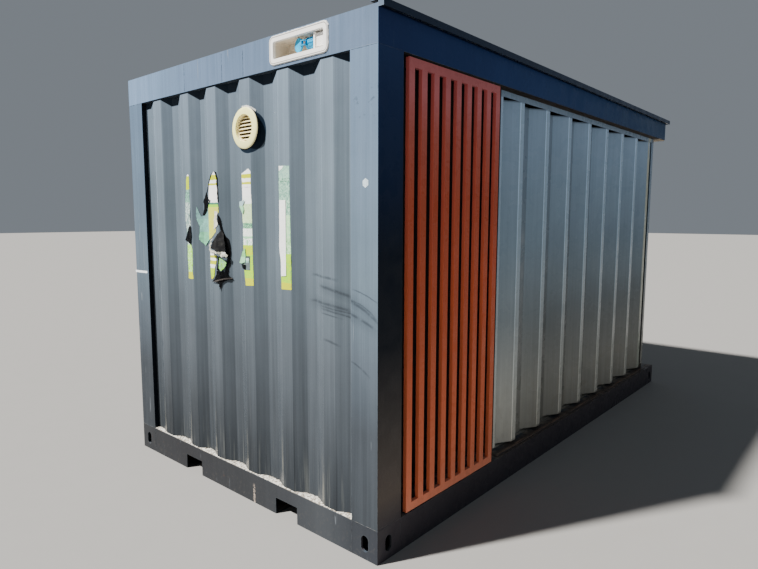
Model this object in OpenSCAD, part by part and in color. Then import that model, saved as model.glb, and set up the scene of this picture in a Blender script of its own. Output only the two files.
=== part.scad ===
// Small container cabin: a welded steel frame with pressed sheet walls, a slatted
// screen and a folded cover on its long front side, and a vent and a power inlet
// in its left end. The front faces -Y, the end with the vent faces -X, +Z is up.
// The origin is on the ground, at the middle of the whole outline.

/* [Overall] */
// Length of the frame
length = 4020; // [3600:10:4800]
// Width of the frame
width = 2140; // [2100:10:2440]
// Height of the frame, without the roof sheet
height = 2440; // [2300:10:2900]

/* [Frame] */
// Height of the base beams
base_h = 162; // [140:1:200]
// Height of the top beams
top_h = 158; // [150:1:200]
// Width of the beams' flanges
flange_w = 100; // [90:1:120]
// Depth of the ledge along the front
ledge_w = 190; // [185:1:230]
// Thickness of the beams' plates
beam_t = 5; // [4:1:7]
// Width of a post, seen from the front
post_x = 168; // [150:1:190]
// Width of a post, seen from an end
post_y = 160; // [150:1:175]
// Wall of a post
post_t = 4; // [3:1:6]
// How far the right front post stands back
post_in = 180; // [180:1:220]

/* [Corner blocks] */
// Wall of a corner block
block_t = 12; // [8:1:14]
// Width of a corner hole
hole_w = 45; // [36:1:60]
// Height of a corner hole
hole_h = 79; // [64:1:90]
// Distance of a corner hole from the corner
hole_in = 78; // [70:1:84]
// Height of a corner hole's middle
hole_z = 76; // [66:1:84]

/* [Fork notches] */
// Distance between the two notches' middles
notch_gap = 874; // [700:2:1000]
// Width of a notch
notch_w = 170; // [140:1:220]
// Height of a notch
notch_h = 90; // [70:1:110]

/* [Floor] */
// Height of a floor joist
joist_h = 66; // [50:1:68]
// Width of a floor joist
joist_w = 50; // [40:1:70]
// Wall of a floor joist
joist_t = 3; // [3:1:5]
// Spacing of the floor joists
joist_gap = 400; // [300:10:600]
// Thickness of the floor boards
deck_t = 18; // [15:1:28]

/* [Pressed walls] */
// Spacing of the ridges
ridge_gap = 304; // [250:1:340]
// Width of a ridge's flat front
ridge_flat = 80; // [60:1:100]
// Width of a ridge's sloping side
ridge_slope = 76; // [50:1:80]
// Depth of the pressing
ridge_depth = 32; // [25:1:40]
// Thickness of the sheet
sheet_t = 2; // [1.5:0.5:3]
// How far the ridges stand behind the frame's face
sheet_in = 6; // [4:1:20]
// First ridge of the left end, from the front corner
first_ridge = 310; // [300:1:340]
// How much the weld draws two ridges of the left end together
seam_shift = 32; // [0:1:40]
// Number of ridges in front of that weld
seam_after = 4; // [3:1:5]

/* [Front cover] */
// Distance of the cover's outer folds from the frame's face
cover_in = 52; // [46:1:60]
// Depth of the folds
fold_depth = 65; // [50:1:80]
// Spacing of the folds
fold_gap = 342; // [300:1:380]
// Width of a fold's flat front
fold_flat = 45; // [30:1:60]
// Width of a fold's sloping side
fold_slope = 115; // [90:1:122]
// Thickness of the cover's sheet
cover_t = 1.5; // [1:0.5:3]
// Left edge of the cover, from the left end
cover_x = 1095; // [1060:1:1120]
// Middle of the first fold, from the left end
first_fold = 1358; // [1330:1:1400]
// Width of the cover's left stile
stile_w = 26; // [20:1:50]
// Width of the cover's end stile
end_stile_w = 46; // [30:1:60]
// Height of the cover's top rail
cover_rail_h = 32; // [20:1:40]
// Thickness of the cover's rails
rail_t = 3; // [2:1:4]
// Height of the angle behind the cover's foot
foot_rail_h = 34; // [26:1:50]
// How far that angle's flat leg comes forward
foot_rail_w = 22; // [10:1:40]
// Gap under the cover's sheet
cover_foot = 18; // [10:1:22]

/* [Screen] */
// Left edge of the screen, from the left end
screen_x = 214; // [190:1:260]
// Width of the screen
screen_w = 793; // [500:1:820]
// Number of bars, with the two outer ones
bar_count = 9; // [5:1:11]
// Width of a bar
bar_w = 40; // [30:1:50]
// Thickness of a bar
bar_t = 20; // [16:1:30]
// How far the screen stands behind the frame's face
screen_in = 5; // [0:1:20]
// Gap under the screen
screen_foot = 4; // [3:1:20]
// Gap over the screen
screen_head = 4; // [3:1:30]

/* [Roof] */
// Height of the roof sheet's ribs
rib_h = 10; // [6:1:12]
// Spacing of the roof sheet's ribs
rib_gap = 300; // [200:10:400]
// How far the roof edge stands out
lip_out = 30; // [20:1:50]
// How far the roof edge stands out at the right end
lip_end = 22; // [10:1:50]
// How far the roof edge reaches down
lip_drop = 16; // [10:1:40]
// Width of the roof edge's top
lip_in = 45; // [30:1:70]
// Thickness of the roof edge's sheet
lip_t = 2; // [2:1:3]

/* [Vent] */
// Diameter of the vent
vent_d = 212; // [190:1:240]
// Diameter of the grille in the vent
vent_grille_d = 136; // [120:1:156]
// Thickness of the vent's rim at its inner edge
vent_t = 11; // [9:1:16]
// Distance of the vent's middle from the frame's top
vent_drop = 412; // [360:1:700]
// Number of blades
vent_blades = 7; // [6:1:9]

/* [Power inlet] */
// Front corner of the frame to the inlet's rim
inlet_y = 292; // [200:1:400]
// Width of the inlet's rim
inlet_w = 403; // [390:1:440]
// Height of the inlet's rim
inlet_h = 132; // [130:1:140]
// Width of the rim's border
inlet_border = 26; // [22:1:28]
// Depth of the inlet's recess
inlet_depth = 94; // [90:1:96]
// Wall of the recess
inlet_t = 3; // [2:1:4]
// Diameter of the socket's collar
collar_d = 62; // [56:1:66]
// Number of ribs round the collar
collar_ribs = 16; // [10:1:20]
// Diameter of the lid
lid_d = 64; // [58:1:66]
// How far the lid stands open
lid_open = 79; // [0:1:98]

/* [Hidden] */
eps = 0.5;

// The outline's middle is the origin: the inlet's rim stands out at the left, and the roof edge
// at the right and at the front
rim_t = 6;
x_left = -(length + lip_end - rim_t) / 2;
x_right = x_left + length;
y_front = -(width - lip_out) / 2;
y_back = y_front + width;
wall_z0 = base_h;
wall_z1 = height - top_h;
wall_h = wall_z1 - wall_z0;

frame_colour = "#3d444b";
wall_colour = "#565c62";
cover_colour = "#8795a0";
screen_colour = "#b5492c";
soffit_colour = "#6e5a48";
cream = "#e6dfc4";
white = "#eceae4";
blue = "#2f9fd0";

// A channel that runs along +X from the origin, with its plate in the plane Y = 0
// and its flanges towards +Y
module channel(run, tall, flange, t) {
  cube([run, t, tall]);
  cube([run, flange, t]);
  translate([0, 0, tall - t])
    cube([run, flange, t]);
}

// A square tube that stands on the origin
module tube(wide, deep, tall, t) {
  difference() {
    cube([wide, deep, tall]);
    translate([t, t, -eps])
      cube([wide - 2 * t, deep - 2 * t, tall + 2 * eps]);
  }
}

// An upright hole with round ends, cut along +Y from the plane Y = 0
module upright_slot(wide, tall, deep) {
  for (z = [-(tall - wide) / 2, (tall - wide) / 2])
    translate([0, 0, z])
      rotate([-90, 0, 0])
        cylinder(d = wide, h = deep, $fn = 32);
  translate([-wide / 2, 0, -(tall - wide) / 2])
    cube([wide, deep, tall - wide]);
}

// The outer line of a pressed sheet from u0 to u1, with a ridge at each middle
function ridge_line(u0, u1, middles, flat, slope, depth) = concat(
  [[u0, depth]],
  [for (m = middles)
    for (p = [[-flat / 2 - slope, depth], [-flat / 2, 0], [flat / 2, 0], [flat / 2 + slope, depth]])
      [m + p[0], p[1]]],
  [[u1, depth]]
);

// A pressed sheet that stands along +X, with its ridges towards -Y
module pressed_sheet(line, t, tall) {
  last = len(line) - 1;
  inner = [for (i = [last:-1:0]) [line[i][0], line[i][1] + t]];
  linear_extrude(height = tall)
    polygon(concat(line, inner));
}

// The middles of as many ridges as a span holds, with equal ends
function even_ridges(span) =
  let (n = max(1, floor((span - ridge_flat - 2 * ridge_slope) / ridge_gap) + 1))
  [for (i = [0:n - 1]) span / 2 + (i - (n - 1) / 2) * ridge_gap];

// Base

notch_mid = [(y_front + y_back - notch_gap) / 2, (y_front + y_back + notch_gap) / 2];
end_run = width - 2 * post_y;
long_run = length - 2 * post_x;

// An end's base beam in the left end's place, open to the inside and notched for forks
module end_base_beam() {
  difference() {
    translate([x_left, y_back - post_y, 0])
      rotate([0, 0, -90])
        channel(end_run, base_h, flange_w, beam_t);
    for (y = notch_mid)
      translate([x_left - eps, y - notch_w / 2, -eps])
        cube([flange_w + 2 * eps, notch_w, notch_h + eps]);
  }
}

// Places a left end's piece at the right end
module at_right_end() {
  translate([x_left + x_right, 0, 0])
    mirror([1, 0, 0])
      children();
}

// Places a front piece at the back
module at_back() {
  translate([0, y_front + y_back, 0])
    mirror([0, 1, 0])
      children();
}

module base_beam_left() {
  color(frame_colour)
    end_base_beam();
}

module base_beam_right() {
  color(frame_colour)
    at_right_end()
      end_base_beam();
}

module base_beam_front() {
  color(frame_colour)
    translate([x_left + post_x, y_front, 0])
      channel(long_run, base_h, ledge_w, beam_t);
}

module base_beam_back() {
  color(frame_colour)
    at_back()
      translate([x_left + post_x, y_front, 0])
        channel(long_run, base_h, flange_w, beam_t);
}

// A hollow corner block with a hole in its front, in its end and in its foot
module corner_block() {
  difference() {
    translate([x_left, y_front, 0])
      cube([post_x, post_y, base_h]);
    translate([x_left + block_t, y_front + block_t, block_t])
      cube([post_x - 2 * block_t, post_y - 2 * block_t, base_h - 2 * block_t]);
    translate([x_left + hole_in, y_front - eps, hole_z])
      upright_slot(hole_w, hole_h, block_t + 2 * eps);
    translate([x_left - eps, y_front + hole_in, hole_z])
      rotate([0, 0, -90])
        upright_slot(hole_w, hole_h, block_t + 2 * eps);
    translate([x_left + post_x / 2, y_front + post_y / 2, -eps])
      cylinder(d = hole_w, h = block_t + 2 * eps, $fn = 32);
  }
}

module corner_block_front_left() {
  color(frame_colour)
    corner_block();
}

module corner_block_front_right() {
  color(frame_colour)
    at_right_end()
      corner_block();
}

module corner_block_back_left() {
  color(frame_colour)
    at_back()
      corner_block();
}

module corner_block_back_right() {
  color(frame_colour)
    at_right_end()
      at_back()
        corner_block();
}

// Posts

module post_front_left() {
  color(frame_colour)
    translate([x_left, y_front, wall_z0])
      tube(post_x, post_y, wall_h, post_t);
}

module post_front_right() {
  color(frame_colour)
    translate([x_right - post_x, y_front + post_in, wall_z0])
      tube(post_x, post_y, wall_h, post_t);
}

module post_back_left() {
  color(frame_colour)
    translate([x_left, y_back - post_y, wall_z0])
      tube(post_x, post_y, wall_h, post_t);
}

module post_back_right() {
  color(frame_colour)
    translate([x_right - post_x, y_back - post_y, wall_z0])
      tube(post_x, post_y, wall_h, post_t);
}

// Floor

// How far the pressed walls reach in from the frame's face
wall_in = sheet_in + ridge_depth + sheet_t;
joist_run = width - ledge_w - flange_w;
joist_span = length - 2 * flange_w - joist_w;
joist_count = floor(joist_span / joist_gap) + 1;

// A joist that runs from the front ledge to the back beam, open towards -X
module joist() {
  translate([joist_w, 0, 0])
    rotate([0, 0, 90])
      channel(joist_run, joist_h, joist_w, joist_t);
}

module floor_joists() {
  color(frame_colour)
    for (i = [0:joist_count - 1])
      translate([
        (x_left + x_right - joist_w) / 2 + (i - (joist_count - 1) / 2) * joist_gap,
        y_front + ledge_w,
        base_h - joist_h
      ])
        joist();
}

module floor_boards() {
  x0 = x_left + wall_in;
  y0 = y_front + ledge_w;
  color("#8a6f4d")
    difference() {
      translate([x0, y0, base_h])
        cube([length - 2 * wall_in, width - ledge_w - wall_in, deck_t]);
      for (x = [x_left, x_right - post_x])
        translate([x - eps, y_back - post_y - eps, base_h - eps])
          cube([post_x + 2 * eps, post_y + 2 * eps, deck_t + 2 * eps]);
      translate([x_right - post_x - eps, y_front, base_h - eps])
        cube([post_x + 2 * eps, post_in + post_y + eps, deck_t + 2 * eps]);
    }
}

// Walls

// The left end's ridges, where one weld draws two of them together
left_span = width - 2 * post_y;
left_count = floor((left_span + post_y - first_ridge - ridge_flat / 2 - ridge_slope) / ridge_gap) + 1;
left_ridges = [for (i = [0:left_count - 1])
  first_ridge - post_y + i * ridge_gap - (i >= seam_after ? seam_shift : 0)];

// The ridge that carries the vent
vent_ridge = 2;
vent_z = height - vent_drop;
vent_y = y_front + post_y + left_ridges[vent_ridge];
spigot_t = 3;
spigot_d = vent_grille_d + 2 * spigot_t;
spigot_run = 110;
spigot_room = 1;

// How deep the left end's sheet meets the posts
sheet_edge_depth = 23;

module left_end_wall() {
  line = ridge_line(0, left_span, left_ridges, ridge_flat, ridge_slope, ridge_depth);
  last = len(line) - 1;
  seated = [for (i = [0:last]) i < 2 || i > last - 2 ? [line[i][0], sheet_edge_depth] : line[i]];
  mirrored = [for (i = [last:-1:0]) [left_span - seated[i][0], seated[i][1]]];
  color(wall_colour)
    difference() {
      translate([x_left + sheet_in, y_back - post_y, wall_z0])
        rotate([0, 0, -90])
          pressed_sheet(mirrored, sheet_t, wall_h);
      translate([x_left, vent_y, vent_z])
        rotate([0, 90, 0])
          cylinder(d = spigot_d + 2 * spigot_room, h = wall_in + eps, $fn = 64);
    }
}

module right_end_wall() {
  span = width - post_in - 2 * post_y;
  color(wall_colour)
    translate([x_right - sheet_in, y_front + post_in + post_y, wall_z0])
      rotate([0, 0, 90])
        pressed_sheet(
          ridge_line(0, span, even_ridges(span), ridge_flat, ridge_slope, ridge_depth), sheet_t, wall_h);
}

module back_wall() {
  span = length - 2 * post_x;
  color(wall_colour)
    at_back()
      translate([x_left + post_x, y_front + sheet_in, wall_z0])
        pressed_sheet(
          ridge_line(0, span, even_ridges(span), ridge_flat, ridge_slope, ridge_depth), sheet_t, wall_h);
}

niche_t = 3;

// The flat sheet behind the slatted screen, up to the cover's left stile
module niche_wall() {
  color(frame_colour)
    translate([x_left + wall_in, y_front + post_y, wall_z0])
      cube([cover_x + rail_t - wall_in, niche_t, wall_h - soffit_t]);
}

// Top beams

rim_lip = 8;
inlet_z0 = height - inlet_h - rim_lip;
recess_w = inlet_w - 2 * inlet_border;
recess_h = inlet_h - 2 * inlet_border;
recess_y = y_front + inlet_y + inlet_border;
recess_z = inlet_z0 + inlet_border;
recess_room = 1;

// An end's top beam in the left end's place, with closed ends
module end_top_beam() {
  translate([x_left, y_back, height - top_h])
    rotate([0, 0, -90])
      channel(width, top_h, flange_w, beam_t);
  for (y = [y_front, y_back - beam_t])
    translate([x_left, y, height - top_h])
      cube([flange_w, beam_t, top_h]);
}

module top_beam_left() {
  hole_out = inlet_t + recess_room;
  color(frame_colour)
    difference() {
      end_top_beam();
      translate([x_left - eps, recess_y - hole_out, recess_z - hole_out])
        cube([beam_t + 2 * eps, recess_w + 2 * hole_out, recess_h + 2 * hole_out]);
    }
}

module top_beam_right() {
  color(frame_colour)
    at_right_end()
      end_top_beam();
}

module long_top_beam() {
  translate([x_left + flange_w, y_front, height - top_h])
    channel(length - 2 * flange_w, top_h, flange_w, beam_t);
}

module top_beam_front() {
  color(frame_colour)
    long_top_beam();
}

module top_beam_back() {
  color(frame_colour)
    at_back()
      long_top_beam();
}

// Roof

bow_w = 50;
bow_h = 60;
bow_t = 3;
bow_count = 5;

// Bearers under the roof sheet, between the long top beams
module roof_bows() {
  run = width - 2 * flange_w;
  step = (length - 2 * flange_w) / (bow_count + 1);
  color(frame_colour)
    for (i = [1:bow_count])
      translate([x_left + flange_w + i * step + bow_w / 2, y_front + flange_w, height - bow_h])
        rotate([0, 0, 90])
          channel(run, bow_h, bow_w, bow_t);
}

roof_t = 2;
roof_in = 42;
rib_flat = 100;
rib_slope = 12;

// The ribbed roof sheet lies on the top beams
module roof_sheet() {
  run = length - roof_in - lip_t;
  n = floor((run - 2 * rib_flat) / rib_gap) + 1;
  middles = [for (i = [0:n - 1]) run / 2 + (i - (n - 1) / 2) * rib_gap];
  line = ridge_line(0, run, middles, rib_flat, rib_slope, rib_h);
  color(wall_colour)
    translate([x_left + roof_in, y_back - lip_t, height + rib_h + roof_t])
      rotate([-90, 0, 0])
        mirror([0, 0, 1])
          linear_extrude(height = width - 2 * lip_t)
            polygon(concat(line, [for (i = [len(line) - 1:-1:0]) [line[i][0], line[i][1] + roof_t]]));
}

roof_top = height + rib_h + roof_t;
lip_z0 = height - lip_drop;
lip_return = 12;

// The folded roof edge in section: out from the frame, up, and in over the roof sheet
module lip_section(out) {
  translate([-out, lip_z0])
    square([lip_return, lip_t]);
  translate([-out, lip_z0])
    square([lip_t, roof_top + lip_t - lip_z0]);
  translate([-out, roof_top])
    square([out + lip_in, lip_t]);
}

// The front's edge runs from the left end's face to the outer line of the right end's
module roof_edge_front() {
  lip_h = roof_top + lip_t - lip_z0;
  color(frame_colour)
    difference() {
      union() {
        translate([x_left, y_front, 0])
          rotate([90, 0, 90])
            linear_extrude(height = length)
              lip_section(lip_out);
        translate([x_left, y_front - lip_out, lip_z0])
          cube([lip_t, lip_out, lip_h]);
        translate([x_right, y_front - lip_out, lip_z0])
          cube([lip_end, lip_t, lip_h]);
        translate([x_right, y_front - lip_out, roof_top])
          cube([lip_end, lip_out, lip_t]);
        translate([x_right + lip_end - lip_t, y_front - lip_out, lip_z0])
          cube([lip_t, lip_out, lip_h]);
      }
      translate([x_left + eps, y_front, lip_z0 - eps])
        cube([length, lip_in + eps, height - lip_z0 + eps]);
    }
}

// A plain closing strip over the sheet's back edge, flush with the frame
module roof_edge_back() {
  color(frame_colour)
    translate([x_left + roof_in, 0, 0]) {
      translate([0, y_back - lip_t, height])
        cube([length - roof_in, lip_t, roof_top - height]);
      translate([0, y_back - lip_in, roof_top])
        cube([length - roof_in, lip_in, lip_t]);
    }
}

module roof_edge_right() {
  color(frame_colour)
    difference() {
      translate([x_right, y_front, 0])
        rotate([90, 0, 180])
          linear_extrude(height = width)
            lip_section(lip_end);
      for (y = [y_front - eps, y_back - lip_in])
        translate([x_right - lip_in - eps, y, height])
          cube([lip_in + eps, lip_in + eps, roof_top]);
    }
}

soffit_t = 6;

// The board under the front top beam, over the screen and the cover
module soffit() {
  color(soffit_colour)
    translate([x_left + post_x, y_front + beam_t, wall_z1 - soffit_t])
      cube([length - post_x, post_in - beam_t, soffit_t]);
}

// Slatted screen

screen_y = y_front + screen_in;
screen_z0 = base_h + screen_foot;
screen_z1 = wall_z1 - soffit_t - screen_head;
screen_h = screen_z1 - screen_z0;
bar_gap = (screen_w - bar_w) / (bar_count - 1);

module screen_frame() {
  color(screen_colour)
    difference() {
      translate([x_left + screen_x, screen_y, screen_z0])
        cube([screen_w, bar_t, screen_h]);
      translate([x_left + screen_x + bar_w, screen_y - eps, screen_z0 + bar_w])
        cube([screen_w - 2 * bar_w, bar_t + 2 * eps, screen_h - 2 * bar_w]);
    }
}

module screen_bars() {
  color(screen_colour)
    for (i = [1:bar_count - 2])
      translate([x_left + screen_x + i * bar_gap, screen_y, screen_z0 + bar_w])
        cube([bar_w, bar_t, screen_h - 2 * bar_w]);
}

bracket_w = 30;
bracket_in = 60;

// Small blocks that carry the screen at its foot and its head
module screen_brackets() {
  color(frame_colour)
    for (x = [screen_x + bracket_in, screen_x + screen_w - bracket_in - bracket_w]) {
      translate([x_left + x, screen_y, base_h])
        cube([bracket_w, bar_t, screen_foot]);
      translate([x_left + x, screen_y, screen_z1])
        cube([bracket_w, bar_t, screen_head]);
    }
}

// Front cover

cover_y = y_front + cover_in;
cover_back = cover_y + fold_depth + cover_t;
cover_z0 = base_h + cover_foot;
rail_overlap = 3;
rail_z0 = wall_z1 - soffit_t - cover_rail_h;
cover_z1 = rail_z0 + rail_overlap;

// The cover ends beside the right post, whose front face takes its end stile
cover_end = length - post_x + rail_t;
sheet_x0 = cover_x + rail_t;
sheet_x1 = cover_end - rail_t;
fold_count = floor((sheet_x1 - first_fold - fold_flat / 2) / fold_gap) + 1;
folds = [for (i = [0:fold_count - 1]) first_fold - sheet_x0 + i * fold_gap];

// The cover's line ends on the slope of its last fold, where the stile cuts it
module front_cover() {
  run = sheet_x1 - sheet_x0;
  plain = ridge_line(0, run, folds, fold_flat, fold_slope, fold_depth);
  last_end = folds[fold_count - 1] + fold_flat / 2;
  finish = last_end + fold_slope < run
    ? [[last_end + fold_slope, fold_depth], [run, fold_depth]]
    : [[run, (run - last_end) * fold_depth / fold_slope]];
  line = concat([for (i = [0:len(plain) - 3]) plain[i]], finish);
  color(cover_colour)
    translate([x_left + sheet_x0, cover_y, cover_z0])
      pressed_sheet(line, cover_t, cover_z1 - cover_z0);
}

// An angle under the soffit, whose upright leg stands in front of the sheet's top
module cover_top_rail() {
  run = cover_end - cover_x;
  color(cover_colour)
    translate([x_left + cover_x, cover_y, 0]) {
      translate([0, -rail_t, rail_z0])
        cube([run, rail_t, cover_rail_h]);
      translate([0, 0, wall_z1 - soffit_t - rail_t])
        cube([run, rail_t + fold_depth, rail_t]);
    }
}

// An angle on the ledge, whose upright leg stands behind the sheet's foot
module cover_foot_rail() {
  run = sheet_x1 - sheet_x0;
  color(cover_colour)
    translate([x_left + sheet_x0, cover_back, base_h]) {
      cube([run, rail_t, foot_rail_h]);
      translate([0, -foot_rail_w, 0])
        cube([run, foot_rail_w, rail_t]);
    }
}

strip_in = 18;
strip_w = 22;
strip_t = 4;

// A flat bar on the ledge in front of the cover
module ledge_strip() {
  color(frame_colour)
    translate([x_left + cover_x, y_front + strip_in, base_h])
      cube([length - cover_x - post_x, strip_w, strip_t]);
}

// The front leg stops short of the ledge
stile_foot = 45;

// An upright angle beside the cover's sheet, with its side leg at X = 0
module cover_stile(wide, deep) {
  translate([0, -rail_t, stile_foot])
    cube([wide, rail_t, rail_z0 - base_h - stile_foot]);
  cube([rail_t, deep, wall_z1 - soffit_t - rail_t - base_h]);
}

// The left stile's side leg reaches back to the niche wall
module cover_left_stile() {
  color(cover_colour)
    translate([x_left + cover_x, cover_y, base_h])
      cover_stile(stile_w, post_y - cover_in);
}

// The end stile's side leg reaches back to the right post
module cover_end_stile() {
  color(cover_colour)
    translate([x_left + cover_end, cover_y, base_h])
      mirror([1, 0, 0])
        cover_stile(end_stile_w, post_in - cover_in);
}

// Vent

vent_edge_t = 3;
vent_step_w = 2;
vent_step_h = 4;

// The domed rim, its step and the duct through the wall, turned about +Z
module vent_profile() {
  r = vent_d / 2;
  inner = vent_grille_d / 2;
  crown = inner + vent_step_w;
  dome = [for (a = [0:10:90])
    [crown + (r - crown) * sin(a), vent_edge_t + (vent_t - vent_edge_t) * cos(a)]];
  polygon(concat(
    [[r, 0]],
    [for (i = [len(dome) - 1:-1:0]) dome[i]],
    [
      [crown, vent_t - vent_step_h],
      [inner, vent_t - vent_step_h],
      [inner, -spigot_run],
      [spigot_d / 2, -spigot_run],
      [spigot_d / 2, 0]
    ]
  ));
}

// Turns a piece whose axis is +Z to face out of the left end, at the vent's middle
module at_vent() {
  translate([x_left + sheet_in, vent_y, vent_z])
    rotate([0, -90, 0])
      children();
}

module vent_ring() {
  color(cream)
    at_vent()
      rotate_extrude($fn = 96)
        vent_profile();
}

blade_t = 2.5;
blade_w = 15;
blade_tilt = 42;
louvre_in = 17;
louvre_t = 15;
louvre_ring_t = 4;
louvre_room = 0.3;

// The blades, which slope down outwards, and the ring that joins them, seated inside the duct
module vent_louvres() {
  r = vent_grille_d / 2 - louvre_room;
  step = 2 * (r - louvre_ring_t) / vent_blades;
  color(cream)
    at_vent()
      translate([0, 0, -louvre_in]) {
        difference() {
          cylinder(r = r, h = louvre_t, $fn = 96);
          translate([0, 0, -eps])
            cylinder(r = r - louvre_ring_t, h = louvre_t + 2 * eps, $fn = 96);
        }
        intersection() {
          cylinder(r = r - louvre_ring_t / 2, h = louvre_t, $fn = 96);
          for (i = [0:vent_blades - 1])
            translate([(i - (vent_blades - 1) / 2) * step, -r, louvre_t / 2])
              rotate([0, -blade_tilt, 0])
                translate([-blade_t / 2, 0, -blade_w / 2])
                  cube([blade_t, 2 * r, blade_w]);
        }
      }
}

// Power inlet

rim_r = 28;
recess_r = 10;

// A rectangle with round corners that stands on the plane X = 0 and runs along +X
module round_plate(y0, z0, wide, tall, r, thick) {
  for (y = [y0 + r, y0 + wide - r])
    for (z = [z0 + r, z0 + tall - r])
      translate([0, y, z])
        rotate([0, 90, 0])
          cylinder(r = r, h = thick, $fn = 40);
  translate([0, y0 + r, z0])
    cube([thick, wide - 2 * r, tall]);
  translate([0, y0, z0 + r])
    cube([thick, wide, tall - 2 * r]);
}

module inlet_housing() {
  color(white)
    difference() {
      union() {
        translate([x_left - rim_t, 0, 0])
          round_plate(y_front + inlet_y, inlet_z0, inlet_w, inlet_h, rim_r, rim_t);
        translate([x_left, recess_y - inlet_t, recess_z - inlet_t])
          cube([inlet_depth, recess_w + 2 * inlet_t, recess_h + 2 * inlet_t]);
      }
      translate([x_left - rim_t - eps, 0, 0])
        round_plate(recess_y, recess_z, recess_w, recess_h, recess_r, rim_t + inlet_depth - inlet_t + eps);
    }
}

socket_in = 42;
socket_x = x_left + socket_in;
socket_z = recess_z + recess_h / 2 + 1;
socket_body = 68;
socket_body_in = 6;
socket_flange_t = 10;
socket_half = 35;
collar_y0 = recess_y + socket_body + socket_flange_t;
collar_run = 60;
collar_t = 6;

// The block behind the socket and its flange, seated on the recess's front wall
module inlet_socket() {
  body_half = socket_half - socket_body_in;
  color(white) {
    translate([socket_x - body_half, recess_y, socket_z - body_half])
      cube([2 * body_half, socket_body, 2 * body_half]);
    translate([socket_x - socket_half, recess_y + socket_body, socket_z - socket_half])
      cube([2 * socket_half, socket_flange_t, 2 * socket_half]);
  }
}

hinge_in = 3;
hinge_x = x_left + hinge_in;
hinge_out = 16;
hinge_y = collar_y0 + collar_run + hinge_out;
pin_d = 5;
eye_d = 11;
eye_h = 14;
eye_room = 0.5;
lid_arm_w = 18;
lid_arm_bite = 4;
ear_t = 4;
collar_rib_w = 5;
collar_rib_in = 12;
collar_rib_out = 2;
collar_lip = 6;
collar_mouth = 8;
ear_run = 26;
ear_foot = 9;

// The ribbed collar, and the two ears and the pin that carry its lid
module inlet_collar() {
  r = collar_d / 2;
  inner = r - collar_rib_out;
  rib_run = collar_run - collar_rib_in - collar_mouth - collar_lip;
  color(blue) {
    translate([socket_x, collar_y0, socket_z])
      rotate([-90, 0, 0])
        difference() {
          union() {
            cylinder(r = inner, h = collar_run, $fn = 64);
            cylinder(r = r, h = collar_lip, $fn = 64);
            translate([0, 0, collar_run - collar_mouth])
              cylinder(r = r, h = collar_mouth, $fn = 64);
            for (i = [0:collar_ribs - 1])
              rotate([0, 0, i * 360 / collar_ribs])
                translate([inner - eps, -collar_rib_w / 2, collar_rib_in])
                  cube([collar_rib_out + eps, collar_rib_w, rib_run]);
          }
          translate([0, 0, -eps])
            cylinder(r = inner - collar_t, h = collar_run + 2 * eps, $fn = 64);
        }
    for (z = [socket_z - eye_h / 2 - eye_room - ear_t, socket_z + eye_h / 2 + eye_room])
      translate([0, 0, z]) {
        translate([hinge_x, hinge_y, 0])
          cylinder(d = eye_d, h = ear_t, $fn = 32);
        translate([hinge_x - eye_d / 2, hinge_y - ear_run, 0])
          cube([eye_d, ear_run, ear_t]);
        translate([hinge_x - eye_d / 2, hinge_y - ear_run, 0])
          cube([eye_d + collar_t, ear_foot, ear_t]);
      }
    translate([hinge_x, hinge_y, socket_z - eye_h / 2 - eye_room - ear_t])
      cylinder(d = pin_d, h = eye_h + 2 * (eye_room + ear_t), $fn = 32);
  }
}

contact_d = 6;
contact_run = 38;
contact_ring = 11;

module inlet_pins() {
  color("#c9b26a")
    for (a = [90, 210, 330])
      translate([socket_x + contact_ring * cos(a), collar_y0, socket_z + contact_ring * sin(a)])
        rotate([-90, 0, 0])
          cylinder(d = contact_d, h = contact_run, $fn = 24);
}

lid_t = 8;
lid_gap = 2;
pin_room = 0.3;

// The round lid, drawn closed over the collar and then swung open about its pin
module inlet_lid() {
  lid_y = collar_y0 + collar_run + lid_gap;
  color(blue)
    translate([hinge_x, hinge_y, 0])
      rotate([0, 0, lid_open])
        translate([-hinge_x, -hinge_y, 0])
          difference() {
            union() {
              translate([socket_x, lid_y, socket_z])
                rotate([-90, 0, 0])
                  cylinder(d = lid_d, h = lid_t, $fn = 64);
              translate([hinge_x, hinge_y, socket_z - eye_h / 2])
                cylinder(d = eye_d, h = eye_h, $fn = 32);
              translate([hinge_x, lid_y + lid_t - lid_arm_bite, socket_z - eye_h / 2])
                cube([lid_arm_w, hinge_y - lid_y - lid_t + lid_arm_bite, eye_h]);
            }
            translate([hinge_x, hinge_y, socket_z - eye_h])
              cylinder(d = pin_d + 2 * pin_room, h = 2 * eye_h, $fn = 32);
          }
}

base_beam_left();
base_beam_right();
base_beam_front();
base_beam_back();
corner_block_front_left();
corner_block_front_right();
corner_block_back_left();
corner_block_back_right();
post_front_left();
post_front_right();
post_back_left();
post_back_right();
floor_joists();
floor_boards();
left_end_wall();
right_end_wall();
back_wall();
niche_wall();
top_beam_left();
top_beam_right();
top_beam_front();
top_beam_back();
roof_bows();
roof_sheet();
roof_edge_front();
roof_edge_back();
roof_edge_right();
soffit();
screen_frame();
screen_bars();
screen_brackets();
front_cover();
cover_top_rail();
cover_foot_rail();
cover_left_stile();
cover_end_stile();
ledge_strip();
vent_ring();
vent_louvres();
inlet_housing();
inlet_socket();
inlet_collar();
inlet_pins();
inlet_lid();
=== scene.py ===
import math
import random
from functools import reduce

import bmesh
import bpy
from mathutils import Matrix, Vector, noise


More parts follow.
